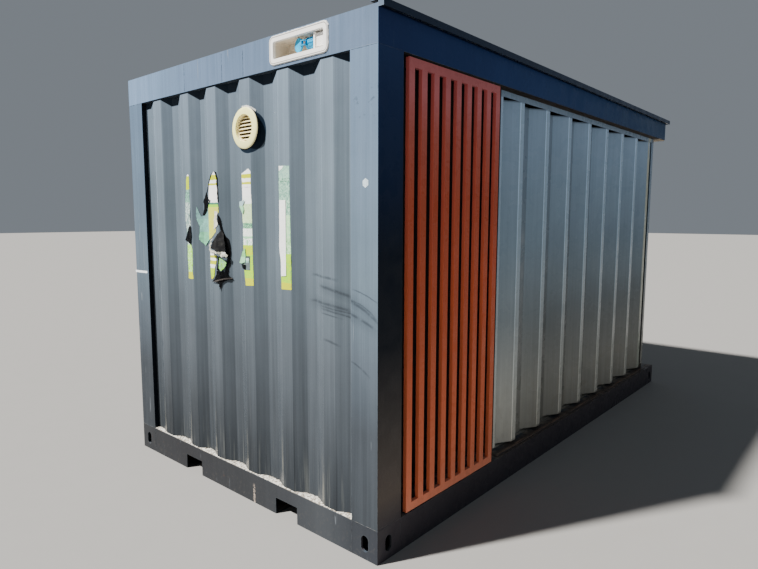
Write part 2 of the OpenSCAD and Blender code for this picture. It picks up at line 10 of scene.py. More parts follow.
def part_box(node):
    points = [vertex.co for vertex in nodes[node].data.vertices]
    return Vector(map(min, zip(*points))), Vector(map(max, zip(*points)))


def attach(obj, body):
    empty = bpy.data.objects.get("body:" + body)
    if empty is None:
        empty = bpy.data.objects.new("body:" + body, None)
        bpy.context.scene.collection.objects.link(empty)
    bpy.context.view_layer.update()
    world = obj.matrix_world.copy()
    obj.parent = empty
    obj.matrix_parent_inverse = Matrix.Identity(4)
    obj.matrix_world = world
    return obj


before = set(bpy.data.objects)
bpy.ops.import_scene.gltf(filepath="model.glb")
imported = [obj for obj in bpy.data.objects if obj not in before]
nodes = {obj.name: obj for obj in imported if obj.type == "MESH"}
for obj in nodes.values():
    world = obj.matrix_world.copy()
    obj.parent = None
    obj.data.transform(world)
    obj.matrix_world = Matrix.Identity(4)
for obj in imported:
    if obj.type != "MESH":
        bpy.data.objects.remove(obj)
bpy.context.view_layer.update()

random.seed(7)

# Sizes of the frame in metres, in the row frame

X_LEFT, X_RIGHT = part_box("base_beam_left")[0][0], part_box("base_beam_right")[1][0]
Y_FRONT, Y_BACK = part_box("base_beam_front")[0][1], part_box("base_beam_back")[1][1]
BASE_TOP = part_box("base_beam_left")[1][2]
BEAM_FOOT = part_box("top_beam_left")[0][2]
FRAME_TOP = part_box("top_beam_left")[1][2]
POST_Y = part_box("post_front_left")[1][1]
POST_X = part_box("post_front_left")[1][0]
POST_WIDE, POST_DEEP = POST_X - X_LEFT, POST_Y - Y_FRONT
SHEET_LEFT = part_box("left_end_wall")[0][0]
COVER_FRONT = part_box("front_cover")[0][1]
VENT_Y, VENT_Z = (sum(edge) / 2 for edge in zip(*(corner[1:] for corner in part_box("vent_ring"))))
COVER_START, COVER_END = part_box("cover_left_stile")[0][0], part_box("cover_end_stile")[1][0]
RIDGE_DEPTH = 0.032
EDGE_DEPTH = 0.023
RIDGE_FLAT = 0.08
RIDGE_SLOPE = 0.076
LEFT_RIDGES = (-0.745, -0.441, -0.137, 0.167, 0.439, 0.743)
INLET_CORNER = 0.028
CAMERA = Vector((X_LEFT - 1.879, Y_FRONT - 1.6431, 1.5718))
FOCAL_PIXELS, PHOTO_PIXELS = 586.21, 758


def sheet_x(y):
    """The outer face of the left end's pressed sheet at y."""
    away = min(abs(y - r) for r in LEFT_RIDGES) - RIDGE_FLAT / 2
    deep = RIDGE_DEPTH if LEFT_RIDGES[0] < y < LEFT_RIDGES[-1] else EDGE_DEPTH
    return SHEET_LEFT + deep * min(max(away / RIDGE_SLOPE, 0), 1)


def put_in_scene(name, data):
    o = bpy.data.objects.new(name, data)
    bpy.context.scene.collection.objects.link(o)
    return o


# Finishes

class Finish:
    """One procedural material, built up node by node in the object's own metres. A colour is (r, g, b)."""

    def __init__(self, name, rough=0.5, metal=0.0, specular=0.5):
        self.mat = bpy.data.materials.new(name)
        self.mat.use_nodes = True
        self.tree = self.mat.node_tree
        self.shader = self.tree.nodes["Principled BSDF"]
        self.feed(self.shader, {"Roughness": rough, "Metallic": metal, "Specular IOR Level": specular})
        self.place = self.tree.nodes.new("ShaderNodeTexCoord").outputs["Object"]
        self.x, self.y, self.z = (self.along(axis, self.place) for axis in "XYZ")
        self.colour = self.height = None

    def feed(self, node, inputs):
        """Links or sets a node's inputs, by their names or places."""
        for key, value in inputs.items():
            socket = node.inputs[key]
            if hasattr(value, "is_output"):
                self.tree.links.new(value, socket)
            elif value is not None:
                socket.default_value = (*value, 1.0) if socket.type == "RGBA" else value

    def node(self, kind, inputs, **settings):
        n = self.tree.nodes.new("ShaderNode" + kind)
        for name, value in settings.items():
            setattr(n, name, value)
        self.feed(n, inputs)
        return n

    def along(self, axis, vector):
        return self.node("SeparateXYZ", {0: vector}).outputs["XYZ".index(axis)]

    def math(self, kind, a, b=None, c=None):
        return self.node("Math", {0: a, 1: b, 2: c}, operation=kind).outputs[0]

    def minus(self, a, b):
        return self.math("SUBTRACT", a, b)

    def distance(self, a, b):
        """How long the slant is between the legs a and b of a right angle."""
        return self.math("SQRT", self.math("ADD", self.math("MULTIPLY", a, a), self.math("MULTIPLY", b, b)))

    def band(self, value, start, full, out=1.0):
        """0 at start, rising smoothly to out at full."""
        inputs = {"Value": value, "From Min": start, "From Max": full, "To Min": 0.0, "To Max": out}
        return self.node("MapRange", inputs, interpolation_type="SMOOTHSTEP").outputs[0]

    def within(self, value, lo, hi, soft):
        """1 between lo and hi, 0 outside them."""
        return self.both(self.band(value, lo - soft, lo + soft), self.band(value, hi + soft, hi - soft))

    def both(self, *masks):
        return reduce(lambda a, b: self.math("MULTIPLY", a, b), masks)

    def either(self, *masks):
        return reduce(lambda a, b: self.math("MAXIMUM", a, b), masks)

    def cloud(self, scale, detail=3, rough=0.5, stretch=(1, 1, 1), shift=(0, 0, 0), warp=0):
        """Noise from 0 to 1 with a mean of a half. A stretch under 1 draws it out along that axis."""
        at = self.node("Mapping", {"Vector": self.place, "Scale": stretch, "Location": shift}).outputs[0]
        inputs = {"Vector": at, "Scale": scale, "Detail": detail, "Roughness": rough, "Distortion": warp}
        return self.node("TexNoise", inputs).outputs["Fac"]

    def spots(self, start, full, scale, detail=4, rough=0.5, out=1.0, **shape):
        """Patches of noise: 0 where it is under start, rising smoothly to out at full."""
        return self.band(self.cloud(scale, detail, rough, **shape), start, full, out)

    def ramp(self, value, *stops):
        """Colours along a length: each stop is the place in metres and the colour there."""
        lo, hi = stops[0][0], stops[-1][0]
        share = self.node("MapRange", {"Value": value, "From Min": lo, "From Max": hi}).outputs[0]
        r = self.node("ValToRGB", {0: share})
        marks = r.color_ramp.elements
        while len(marks) < len(stops):
            marks.new(0.5)
        for mark, (at, colour) in zip(marks, stops):
            mark.position = (at - lo) / (hi - lo)
            mark.color = (*colour, 1.0)
        return r.outputs["Color"]

    def over(self, colour, paint, *masks):
        """The paint laid over the colour, where all the masks say so."""
        inputs = {"Factor": self.both(*masks), "A": colour, "B": paint}
        return self.node("Mix", inputs, data_type="RGBA").outputs["Result"]

    def scaled(self, colour, factor):
        """The colour made darker or lighter by a factor around 1."""
        return self.node("VectorMath", {0: colour, "Scale": factor}, operation="SCALE").outputs[0]

    def shaded(self, colour, change, *masks):
        """The colour made lighter by a share of itself, or darker under 0, where the masks say so."""
        return self.scaled(colour, self.math("MULTIPLY_ADD", self.both(*masks), change, 1.0))

    def coat(self, paint, *masks):
        """Lays paint over the finish so far."""
        self.colour = self.over(self.colour, paint, *masks)

    def shade(self, change, *masks):
        """Makes the finish so far lighter or darker."""
        self.colour = self.shaded(self.colour, change, *masks)

    def around(self, value, spread, middle=1.0):
        """The middle value, swung up and down by the spread, from noise with a mean of a half."""
        return self.math("MULTIPLY_ADD", self.minus(value, 0.5), 2 * spread, middle)

    def normal(self):
        return self.node("NewGeometry", {}).outputs["True Normal"]

    def rounded(self, radius):
        """The normal that the surface would have with its edges rounded off."""
        return self.node("Bevel", {"Radius": radius}, samples=4).outputs[0]

    def facing(self, axis):
        """How much the surface faces along an axis of the row frame, from -1 to 1."""
        return self.along(axis, self.normal())

    def looks_left(self):
        return self.band(self.facing("X"), -0.3, -0.8)

    def looks_front(self):
        return self.band(self.facing("Y"), -0.3, -0.8)

    def looks_up(self):
        return self.band(self.facing("Z"), 0.5, 0.95)

    def edge(self, radius):
        """1 on outer and inner edges within the radius, 0 elsewhere."""
        dot = self.node("VectorMath", {0: self.rounded(radius), 1: self.normal()}, operation="DOT_PRODUCT")
        return self.band(dot.outputs["Value"], 0.995, 0.8)

    def lean(self, axis, radius):
        """Which way a rounded edge within the radius would turn, along an axis, from -1 to 1."""
        return self.along(axis, self.rounded(radius))

    def raise_by(self, value, metres):
        """Adds to the relief that the bump node reads, in metres."""
        part = self.math("MULTIPLY", value, metres)
        self.height = part if self.height is None else self.math("ADD", self.height, part)

    def done(self, rough=None):
        self.feed(self.shader, {"Base Color": self.colour, "Roughness": rough})
        if self.height is not None:
            bump = self.node("Bump", {"Strength": 1.0, "Distance": 1.0, "Height": self.height})
            self.feed(self.shader, {"Normal": bump.outputs[0]})
        return self.mat


DUST = (0.235, 0.2, 0.155)
RUST = (0.17, 0.062, 0.022)
SHADE_PAINT = (0.042, 0.054, 0.07)


def rained_on(f, colour, streaks=0.22, patches=0.18):
    """Rain streaks, stronger towards the foot, faded patches and fine grain over a coat of paint."""
    streak = f.cloud(34, 4, 0.62, stretch=(1, 1, 0.022))
    thin = f.cloud(150, 2, 0.5, stretch=(1, 1, 0.012))
    patch = f.cloud(2.6, 5, 0.6)
    grain = f.cloud(520, 2, 0.5)
    lower = f.math("ADD", f.band(f.z, 1.6, 0.3), 1.0)
    swing = f.both(f.minus(streak, 0.5), lower, 2 * streaks)
    faded = f.both(f.around(patch, patches), f.around(thin, streaks * 0.6), f.around(grain, 0.14))
    return f.scaled(colour, f.both(f.math("ADD", swing, 1.0), faded))


def dusted(f, amount=0.75):
    """Dust that settled in patches on faces that look up."""
    f.coat(DUST, f.looks_up(), f.spots(0.4, 0.66, 9, 5, 0.65, out=amount))


def splashed(f):
    """Soil that rain threw up against the foot."""
    f.coat(DUST, f.band(f.z, 0.2, 0.0), f.spots(0.54, 0.7, 46, 5, 0.7), 0.1)


def rusted(f, wear_and_highlight):
    """Rust in spots along the edges that wear."""
    f.coat(RUST, wear_and_highlight, f.spots(0.66, 0.72, 21, 6, 0.7))


def arc_through(a, b, c):
    """Middle and radius of the circle through three points."""
    ax, ay, bx, by, cx, cy = *a, *b, *c
    d = 2 * (ax * (by - cy) + bx * (cy - ay) + cx * (ay - by))
    sa, sb, sc = ax * ax + ay * ay, bx * bx + by * by, cx * cx + cy * cy
    u = (sa * (by - cy) + sb * (cy - ay) + sc * (ay - by)) / d
    v = (sa * (cx - bx) + sb * (ax - cx) + sc * (bx - ax)) / d
    return u, v, math.hypot(ax - u, ay - v)


# Marks of something that swung against the near part of the left end: y and z of three points, and the width
SCUFFS = (
    ((-0.681, 1.249), (-0.89, 1.202), (-1.051, 1.122), 0.012),
    ((-0.6, 1.17), (-0.787, 1.16), (-1.034, 1.089), 0.011),
    ((-0.693, 1.155), (-0.8, 1.143), (-0.885, 1.131), 0.007),
    ((-0.7, 1.142), (-0.8, 1.129), (-0.889, 1.111), 0.008),
    ((-0.7, 1.122), (-0.76, 1.115), (-0.813, 1.107), 0.006),
    ((-0.902, 1.19), (-0.963, 1.169), (-1.055, 1.115), 0.01),
    ((-0.902, 1.2), (-0.987, 1.172), (-1.039, 1.138), 0.006),
    ((-0.914, 1.25), (-1.01, 1.222), (-1.051, 1.204), 0.005),
    ((-0.719, 0.996), (-0.759, 0.99), (-0.8, 0.98), 0.01),
    ((-0.901, 0.92), (-0.95, 0.901), (-0.998, 0.873), 0.008),
    ((-0.612, 1.297), (-0.695, 1.294), (-0.788, 1.285), 0.01),
)
HAZE_FROM = 0.0105


def scuffed(f):
    """Dark rubbed arcs on faces that look left, the wide ones in a soft darker band."""
    rough_edge = f.cloud(90, 3, 0.6)
    broken = f.spots(0.28, 0.5, 18, 4, 0.6)
    soot = (0.022, 0.026, 0.032)
    marks, hazes = [], []
    for a, b, c, wide in SCUFFS:
        mid_y, mid_z, radius = arc_through(a, b, c)
        far = f.distance(f.minus(f.y, mid_y), f.minus(f.z, mid_z))
        off = f.around(rough_edge, 0.0035, f.minus(far, radius))
        near, back, foot = min(a[0], c[0]), max(a[0], c[0]), min(a[1], c[1])
        upper = f.band(f.z, foot - 0.06, foot - 0.02)
        half = wide / 2
        marks.append(f.both(f.within(off, -half, half, half), f.within(f.y, near, back, 0.03), upper))
        if wide > HAZE_FROM:
            hazes.append(f.both(f.within(off, -0.03, 0.02, 0.026), f.within(f.y, near, back, 0.06), upper))
    looks_left = f.looks_left()
    f.coat(soot, f.either(*hazes), looks_left, 0.24)
    f.coat(soot, f.either(*marks), broken, looks_left, 0.56)


def frame_steel():
    """Dark blue-grey paint: chalky and lighter on the left end, partly as painted light, dark on the front as
    painted shade, dusty at the foot.
    """
    f = Finish("frame_paint", specular=0.05)
    post = f.ramp(
        f.z, (0.16, (0.038, 0.044, 0.051)), (0.6, (0.045, 0.053, 0.063)), (0.95, (0.083, 0.105, 0.13)),
        (1.3, (0.11, 0.15, 0.188)), (2.28, (0.126, 0.185, 0.272)),
    )
    post = f.scaled(post, f.math("MULTIPLY_ADD", f.y, -0.08, 0.91))
    beam = f.ramp(
        f.y, (Y_FRONT, (0.114, 0.162, 0.24)), (0.2, (0.112, 0.165, 0.252)), (Y_BACK, (0.16, 0.243, 0.368)),
    )
    foot = f.ramp(
        f.y, (Y_FRONT, (0.029, 0.032, 0.039)), (-0.88, (0.032, 0.036, 0.042)),
        (-0.7, (0.046, 0.051, 0.057)), (-0.45, (0.034, 0.037, 0.042)), (-0.1, (0.029, 0.031, 0.034)),
        (0.55, (0.024, 0.025, 0.028)), (Y_BACK, (0.027, 0.029, 0.032)),
    )
    on_beam = f.band(f.z, BEAM_FOOT - 0.003, BEAM_FOOT + 0.003)
    on_base = f.band(f.z, BASE_TOP + 0.003, BASE_TOP - 0.003)
    left = f.over(f.over(post, beam, on_beam), foot, on_base)
    # Front faces of the posts: bluer at the top as a painted sky reflection, browner low down as dust and a
    # painted ground reflection.
    front_post = f.ramp(
        f.z, (0.0, (0.048, 0.044, 0.053)), (0.16, (0.06, 0.054, 0.06)), (0.3, (0.122, 0.1, 0.086)),
        (0.6, (0.068, 0.06, 0.056)), (1.0, (0.009, 0.012, 0.018)), (1.4, (0.0035, 0.008, 0.018)),
        (2.28, (0.018, 0.035, 0.1)),
    )
    front_beam = f.ramp(
        f.x, (X_LEFT, (0.0155, 0.031, 0.098)), (-1.2, (0.016, 0.0375, 0.118)),
        (-0.6, (0.0185, 0.043, 0.13)), (0.4, (0.019, 0.047, 0.124)), (X_RIGHT, (0.029, 0.06, 0.124)),
    )
    # Painted shadow: a dark band on the front beam just under the roof's edge.
    front_beam = f.shaded(front_beam, -0.72, f.band(f.z, FRAME_TOP - 0.02, FRAME_TOP - 0.01))
    front = f.over(front_post, front_beam, on_beam)
    # Painted shade: faces that look front but stand deeper than the front posts, such as the far posts'
    # sides, are near black.
    front = f.over(front, (0.006, 0.009, 0.014), f.band(f.y, -0.9, -0.8))
    looks_left = f.looks_left()
    looks_front = f.looks_front()
    # Painted light and shade: faces that look left take the light tone, partly chalking and partly painted
    # light; faces that look front take the dark tone as painted shade.
    f.colour = f.over(f.over(SHADE_PAINT, left, looks_left), front, looks_front)
    calm = f.either(looks_front, on_base)
    f.colour = f.over(rained_on(f, f.colour), rained_on(f, f.colour, 0.06, 0.14), calm)
    scuffed(f)
    rubbed = f.both(f.within(f.z, 1.99, 2.11, 0.04), f.band(f.y, -0.88, -0.96), looks_left)
    f.coat((0.03, 0.034, 0.042), f.spots(0.56, 0.64, 34, 5, 0.7), rubbed, 0.42)
    wear_and_highlight = f.edge(0.0035)
    # Lighter edges: partly wear of the paint and partly a painted highlight.
    f.coat((0.21, 0.25, 0.29), wear_and_highlight, f.spots(0.35, 0.6, 30), 0.3)
    scratch = f.spots(0.72, 0.75, 70, 2, 0.4, stretch=(1, 1, 0.06), warp=0.6)
    f.coat((0.24, 0.27, 0.3), scratch, looks_left, 0.4)
    streak = f.both(f.within(f.y, -0.158, -0.143, 0.005), f.band(f.z, 0.115, 0.085), f.spots(0.38, 0.6, 90))
    f.coat((0.36, 0.3, 0.25), streak, looks_left)
    low = f.band(f.z, 0.2, 0.05)
    rusted(f, f.both(low, f.either(wear_and_highlight, 0.2)))
    dusted(f)
    splashed(f)
    on_ledge = f.both(
        f.looks_up(),
        f.band(f.x, COVER_START - 0.01, COVER_START),
        f.within(f.z, BASE_TOP - 0.001, BASE_TOP + 0.006, 0.001),
        f.band(f.y, COVER_FRONT + 0.03, COVER_FRONT),
    )
    grain = f.spots(0.46, 0.6, 150, 3, 0.6, stretch=(0.03, 1, 1))
    on_strip = f.both(grain, f.within(f.y, Y_FRONT + 0.018, Y_FRONT + 0.04, 0.001))
    f.coat(f.over((0.07, 0.052, 0.044), (0.27, 0.17, 0.115), on_strip), on_ledge, 0.8)
    f.raise_by(f.cloud(3.2, 2), 0.001)
    f.raise_by(f.cloud(240), 0.00008)
    return f.done(f.spots(0.1, 0.9, 12, out=0.62))


def wall_steel():
    """The same paint on the pressed sheets: paler on the ridges, lighter on faces that look left, partly as
    painted light, with painted shade on the ridges' near sides, painted light on their far sides, painted
    highlights on their edges, and painted shadows under the top beam and beside the vent.
    """
    f = Finish("wall_paint", specular=0.08)
    left = f.ramp(
        f.z, (0.16, (0.03, 0.035, 0.041)), (0.5, (0.047, 0.055, 0.064)), (0.9, (0.064, 0.077, 0.091)),
        (1.3, (0.086, 0.11, 0.132)), (1.8, (0.1, 0.13, 0.158)), (2.25, (0.124, 0.162, 0.206)),
    )
    left = f.scaled(left, f.math("MULTIPLY_ADD", f.y, -0.14, 0.99))
    left = f.shaded(left, -0.1, f.within(f.y, -0.22, 0.06, 0.12))
    left = f.shaded(left, 0.1, f.band(f.y, 0.2, 0.45))
    looks_left = f.looks_left()
    on_ridge = f.both(f.band(f.x, SHEET_LEFT + 0.004, SHEET_LEFT + 0.001), looks_left)
    forward = f.both(f.band(f.facing("Y"), -0.15, -0.34), looks_left)
    backward = f.both(f.band(f.facing("Y"), 0.15, 0.34), looks_left)
    upper = f.math("MULTIPLY_ADD", f.band(f.z, 1.7, 1.1), -0.1, 0.2)
    paler = f.minus(upper, f.band(f.z, 0.8, 0.25, 0.35))
    left = f.shaded(left, paler, on_ridge)
    # Painted shade on slopes that look front, and painted light on slopes that look back.
    left = f.shaded(left, f.math("MULTIPLY_ADD", f.within(f.z, 0.45, 1.25, 0.2), 0.1, -0.12), forward)
    left = f.shaded(left, 0.06, backward)
    # Faces that look left take the lighter tone, partly chalking and partly painted light.
    f.colour = f.over(SHADE_PAINT, left, looks_left)
    f.colour = rained_on(f, f.colour)
    scuffed(f)
    # Painted highlights on edges that look left and on the ridges' edges that turn back.
    f.shade(0.1, f.edge(0.005), looks_left)
    turning = f.within(f.lean("Y", 0.006), 0.04, 0.33, 0.03)
    f.shade(0.38, turning, f.band(f.x, SHEET_LEFT + 0.006, SHEET_LEFT + 0.003), looks_left)
    runs = f.spots(0.64, 0.74, 60, 3, stretch=(1, 1, 0.01))
    f.coat((0.17, 0.185, 0.195), runs, f.band(f.z, 1.4, 0.3), 0.14)
    low = f.both(f.band(f.z, BASE_TOP + 0.3, BASE_TOP + 0.02), looks_left)
    scum = f.spots(0.52, 0.7, 44, 4, 0.6, stretch=(1, 1, 0.05))
    f.coat((0.22, 0.23, 0.21), low, scum, 0.22)
    by_ridge = f.both(backward, f.within(f.x, SHEET_LEFT + 0.001, SHEET_LEFT + 0.012, 0.006))
    sand = f.spots(0.36, 0.64, 30, 4, 0.6, stretch=(1, 1, 0.2))
    f.coat((0.24, 0.23, 0.18), by_ridge, f.band(f.z, BASE_TOP + 0.34, BASE_TOP + 0.05), sand, 0.46)
    # Painted shadow: near-black paint where the top beam's shadow falls on the sheet, reaching lower the
    # deeper the sheet lies, and where the vent's shadow falls beside the vent.
    shade_foot = f.math("MULTIPLY_ADD", f.minus(f.x, X_LEFT), -1.36, BEAM_FOOT)
    under_beam = f.band(f.minus(f.z, shade_foot), -0.001, 0.002, 0.92)
    off = f.distance(f.minus(f.y, VENT_Y - 0.022), f.minus(f.z, VENT_Z - 0.02))
    by_vent = f.band(off, 0.111, 0.107, 0.98)
    painted_shadow = (0.006, 0.012, 0.022)
    f.coat(painted_shadow, f.either(under_beam, by_vent), looks_left)
    f.raise_by(f.cloud(3, 2, shift=(3, 1, 0)), 0.0016)
    f.raise_by(f.cloud(240), 0.00008)
    return f.done(f.spots(0.1, 0.9, 10, out=0.62))


def roof_steel():
    """The roof's paint: dust in patches, drying rings and a few rust spots, with painted light on faces that
    look left, painted shade on faces that look front or down, and lighter edges, partly wear and partly
    painted highlight.
    """
    f = Finish("roof_paint", rough=0.55, specular=0.16)
    # Painted shade: faces that look front take this dark copy of the paint.
    front = f.ramp(f.x, (X_LEFT, (0.011, 0.02, 0.042)), (X_RIGHT, (0.024, 0.042, 0.08)))
    top = f.over((0.048, 0.06, 0.076), (0.085, 0.1, 0.12), f.spots(0.35, 0.65, 1.7, 5, 0.6))
    # Painted light: faces that look left take a lighter copy.
    f.colour = f.over(top, (0.12, 0.165, 0.235), f.looks_left())
    looks_front = f.looks_front()
    f.colour = f.over(rained_on(f, f.colour, 0.2, 0.4), rained_on(f, front, 0.05, 0.1), looks_front)
    ring = f.within(f.cloud(3.1, 3, 0.5, shift=(4, 2, 0)), 0.53, 0.55, 0.008)
    up = f.looks_up()
    f.coat(DUST, ring, up, 0.35)
    # Painted shade: faces that look down are near black.
    f.coat((0.004, 0.006, 0.01), f.band(f.facing("Z"), -0.5, -0.95))
    f.coat(DUST, up, f.spots(0.36, 0.76, 3.4, 6, 0.68, out=0.42))
    wear_and_highlight = f.both(f.edge(0.0035), f.minus(1.0, looks_front))
    # Lighter edges: partly wear of the paint and partly a painted highlight.
    f.coat((0.27, 0.31, 0.35), wear_and_highlight, f.spots(0.35, 0.6, 30), 0.45)
    rusted(f, f.either(wear_and_highlight, f.both(up, 0.6)))
    f.raise_by(f.cloud(4, 2), 0.0012)
    return f.done(f.spots(0.1, 0.9, 12, out=0.7))


def cover_steel():
    """Slate grey paint of the folded cover, bluer above, dusty below, with painted light on the fronts of its
    folds and on slopes that look left, painted highlights and shade along the folds' edges, and painted shade
    on the left stile, along the top rail's foot and over the farther, lower part.
    """
    f = Finish("cover_paint", rough=0.48, specular=0.2)
    f.colour = f.ramp(
        f.z, (0.16, (0.42, 0.405, 0.35)), (0.45, (0.37, 0.375, 0.34)), (0.95, (0.185, 0.222, 0.245)),
        (1.4, (0.148, 0.206, 0.262)), (2.25, (0.172, 0.248, 0.348)),
    )
    forward = f.both(f.band(f.y, COVER_FRONT + 0.003, COVER_FRONT + 0.0008), f.band(f.z, 0.18, 0.2))
    # Painted shade: darker towards the far end and lower down, except on the front flats.
    f.shade(-0.3, f.band(f.x, -0.95, -0.05), f.band(f.z, 2.45, 0.85), f.minus(1.0, forward))
    # Painted light: the front flats are lighter than the recessed folds.
    f.shade(0.8, forward)
    rail_foot = 2.24
    # Painted shade: a dark band along the foot of the top rail.
    f.shade(-0.42, f.band(f.z, rail_foot - 0.004, rail_foot + 0.003))
    # Painted light: slopes that look left are lighter.
    f.shade(0.6, f.band(f.facing("X"), -0.15, -0.4))
    f.colour = rained_on(f, f.colour, 0.12, 0.14)
    turn = f.lean("X", 0.006)
    past_stile = f.band(f.x, COVER_START + 0.03, COVER_START + 0.04)
    # A painted highlight on each front flat's left edge and painted shade on its right edge.
    f.shade(0.3, forward, f.band(turn, -0.03, -0.25), past_stile)
    f.shade(-0.5, forward, f.band(turn, 0.12, 0.38))
    # Painted shade on the left stile's face that looks left and at its foot.
    on_stile = f.band(f.x, COVER_START + 0.008, COVER_START + 0.003)
    f.shade(-0.93, on_stile, f.looks_left())
    # Painted shade: darker low down past the first panel.
    f.shade(-0.34, f.band(f.x, COVER_START + 0.12, COVER_START + 0.6), f.band(f.z, 1.25, 0.7))
    f.shade(-0.88, on_stile, f.band(f.z, BASE_TOP + 0.048, BASE_TOP + 0.044))
    last_flat = f.both(forward, f.within(f.x, COVER_END - 0.135, COVER_END - 0.072, 0.004))
    f.coat((0.37, 0.4, 0.33), last_flat, f.spots(0.3, 0.48, 14, stretch=(1, 1, 0.3)))
    f.shade(-0.45, f.band(f.x, COVER_END - 0.052, COVER_END - 0.046))
    dirt = f.spots(0.44, 0.7, 16, 5, 0.7, stretch=(1, 1, 0.35))
    f.coat((0.3, 0.27, 0.21), f.band(f.z, 0.75, 0.17), dirt, 0.4)
    dusted(f, 0.3)
    f.raise_by(f.cloud(3.6, 2, shift=(1, 5, 2)), 0.0012)
    f.raise_by(f.cloud(260), 0.00006)
    return f.done(f.spots(0.1, 0.9, 9, out=0.6))


def screen_paint():
    """Orange-red powder coat, faded towards pink at the top, with a lighter copy on the bars' left sides as
    painted light and painted highlights on its edges.
    """
    f = Finish("screen_paint", rough=0.55, specular=0.1)
    f.colour = f.ramp(
        f.z, (0.17, (0.92, 0.3, 0.175)), (0.3, (0.8, 0.215, 0.112)), (0.65, (0.66, 0.142, 0.062)),
        (1.15, (0.47, 0.078, 0.028)), (1.65, (0.39, 0.07, 0.033)), (1.95, (0.38, 0.092, 0.07)),
        (2.15, (0.45, 0.135, 0.145)), (2.27, (0.37, 0.11, 0.115)),
    )
    # Painted light: the bars' sides that look left take a lighter copy of the paint.
    left = f.ramp(
        f.z, (0.17, (0.85, 0.2, 0.09)), (0.65, (0.7, 0.158, 0.07)), (1.15, (0.96, 0.192, 0.085)),
        (1.65, (0.85, 0.162, 0.098)), (1.95, (0.77, 0.145, 0.1)), (2.2, (0.62, 0.13, 0.125)),
    )
    f.coat(left, f.looks_left())
    f.colour = rained_on(f, f.colour, 0.08, 0.16)
    wear_and_highlight = f.edge(0.0022)
    # Painted highlight on the edges; the chips below are wear.
    f.shade(0.45, wear_and_highlight, f.cloud(24, 4))
    f.coat((0.36, 0.26, 0.2), wear_and_highlight, f.spots(0.66, 0.7, 60, 5, 0.7))
    dusted(f, 0.7)
    f.raise_by(f.cloud(420), 0.00007)
    return f.done(f.spots(0.1, 0.9, 30, out=0.66))


def niche_paint():
    """The sheet behind the screen, dark and dusty at its foot."""
    f = Finish("niche_paint", rough=0.7, specular=0.08)
    f.colour = rained_on(f, (0.011, 0.008, 0.008), 0.5, 0.5)
    f.coat(DUST, f.band(f.z, 0.4, 0.17), f.spots(0.42, 0.66, 22, 5, 0.7), 0.3)
    dusted(f)
    return f.done()


def soffit_board():
    """Weathered brown board, near black above the screen and the cover as painted shade, and paler at its
    right end past the cover's end as painted light.
    """
    f = Finish("soffit_board", rough=0.8, specular=0.15)
    grain = f.cloud(60, 4, 0.6, stretch=(0.03, 1, 1), warp=0.4)
    # Painted shade over the screen and cover, and painted light past the cover's end.
    f.colour = f.ramp(
        f.x, (POST_X, (0.012, 0.009, 0.008)), (-0.9, (0.02, 0.015, 0.012)),
        (COVER_END - 0.02, (0.04, 0.03, 0.022)), (COVER_END + 0.02, (0.46, 0.37, 0.26)),
        (X_RIGHT, (0.4, 0.33, 0.24)),
    )
    f.colour = f.scaled(f.scaled(f.colour, f.around(grain, 0.7)), f.around(f.cloud(5, 4), 0.5))
    f.raise_by(grain, 0.0005)
    return f.done()


def floor_board():
    """Plain plywood with long grain, knots' rings and trodden dirt."""
    f = Finish("floor_ply", rough=0.7, specular=0.25)
    grain = f.cloud(26, 6, 0.65, stretch=(0.07, 1, 1), warp=0.9)
    f.colour = f.over((0.3, 0.19, 0.105), (0.5, 0.36, 0.22), f.band(grain, 0.3, 0.7))
    f.coat((0.14, 0.115, 0.09), f.spots(0.45, 0.75, 3, 6, 0.7, out=0.5))
    f.raise_by(grain, 0.0004)
    return f.done(f.band(grain, 0.0, 1.0, 0.85))


def vent_plastic():
    """Cream plastic that yellowed in its grooves and holds dust between the blades, tan and then dark brown
    deeper in, partly as painted shade inside the vent.
    """
    f = Finish("vent_plastic", rough=0.38, specular=0.45)
    # Tan and then dark brown deeper into the vent: partly yellowing and partly painted shade.
    f.colour = f.over((1.0, 0.97, 0.42), (0.97, 0.86, 0.5), f.band(f.x, X_LEFT - 0.002, X_LEFT + 0.005))
    f.coat((0.26, 0.2, 0.12), f.band(f.x, X_LEFT + 0.0115, X_LEFT + 0.02))
    f.coat((0.66, 0.56, 0.35), f.spots(0.52, 0.74, 16, 5, 0.65, out=0.22))
    f.colour = f.scaled(f.colour, f.around(f.cloud(300, 2), 0.1))
    f.coat((0.36, 0.28, 0.16), f.edge(0.0016), f.spots(0.38, 0.62, 40), 0.45)
    f.raise_by(f.cloud(600, 2), 0.00004)
    return f.done(f.spots(0, 1, 20, out=0.7))


